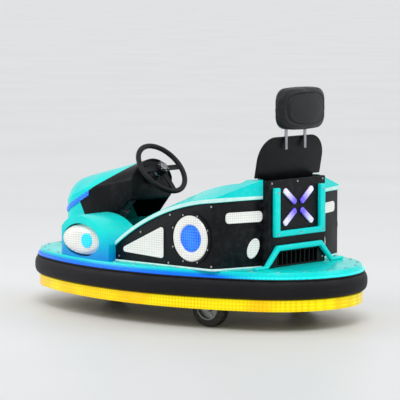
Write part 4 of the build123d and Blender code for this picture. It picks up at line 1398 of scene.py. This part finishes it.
pillow = {"voxel": 0.005, "shrink": 0.003, "edge": 0.0, "rounds": 14, "most": 0.008, "fill": 0.8,
          "middle": (0, 0.655, 1.034), "half": (0.182, 0.1), "held": 0.004, "heldShare": 0.9,
          "thinning": 0.46, "panel": 0.74, "panelScale": 0.11, "rimTurn": 0.7, "panelTurn": 0.4}


def makeHeadrest():
    middle = Vector(pillow["middle"])
    halfWidth, halfHeight = pillow["half"]

    def ovalShare(spot):
        # nought at the pillow's middle and one on its oval outline
        across, up = abs(spot.x) / halfWidth, abs(spot.z - middle.z) / halfHeight
        return (across ** 3 + up ** 3) ** (1 / 3)

    def fromRim(spot):
        return abs(spot.y - middle.y)

    def thinned(spot):
        # the pillow is thinner towards the seam round its rim
        keep = math.sqrt(1 - pillow["thinning"] * min(1, ovalShare(spot)) ** 4)
        return Vector((spot.x, middle.y + keep * (spot.y - middle.y), spot.z))

    def held(spot):
        return fromRim(spot) < pillow["held"] and ovalShare(spot) > pillow["heldShare"]

    seams = [
        ("rim", fromRim, lambda spot, normal: abs(normal.y) < pillow["rimTurn"]),
        ("border", lambda spot: abs(ovalShare(spot) - pillow["panel"]) * pillow["panelScale"],
         lambda spot, normal: abs(normal.y) > pillow["panelTurn"]),
    ]
    makePad("headrest", "headrestPillow", pillow, held, seams, thinned)


makeSeatShell()
reachIntoPillow()
makeCushion()
makeBackPad()
makeHeadrest()
print("seat made")


# Bolts and screws that hold the shells

fasteners = {"deckInset": 0.046, "deckCount": 36, "deckTop": 0.2841, "deckRadius": 0.0075,
             "fenderSide": 0.26, "fenderEnds": (-0.53, -0.10), "screwRadius": 0.0055,
             "panelFace": 0.4679,
             "panel": [(-0.085, 0.312), (0.055, 0.438), (0.245, 0.533), (0.505, 0.588), (0.505, 0.306),
                       (0.235, 0.304)],   # (y, z)
             "tailFace": 0.6399, "tail": [(0.190, 0.310), (0.190, 0.686), (0.0, 0.686)],   # (x, z)
             "frameFace": 0.6639, "frame": [(0.169, 0.4445), (0.169, 0.640), (0.0, 0.4445)]}   # (x, z)


def boltDeck():
    front, back = fasteners["fenderEnds"]
    places = []
    for x, y in ovalPath(fasteners["deckInset"], fasteners["deckCount"]):
        underFender = abs(x) > fasteners["fenderSide"] and front < y < back
        if not underFender:
            places.append(facing((x, y, fasteners["deckTop"]), (0, 0, 1)))
    fitBolts("deckBolts", fasteners["deckRadius"], places, sides=12)


def screwPanels():
    places = [facing((fasteners["panelFace"], y, z), (1, 0, 0)) for y, z in fasteners["panel"]]
    fitBolts("panelScrews", fasteners["screwRadius"], places, bothSides=True)


def screwTail():
    places = []
    for part in ("tail", "frame"):
        for x, z in fasteners[part]:
            sides = (1, -1) if x else (1,)
            places += [facing((side * x, fasteners[part + "Face"], z), (0, 1, 0)) for side in sides]
    fitBolts("tailScrews", fasteners["screwRadius"], places)


boltDeck()
screwPanels()
screwTail()
print("fasteners made")
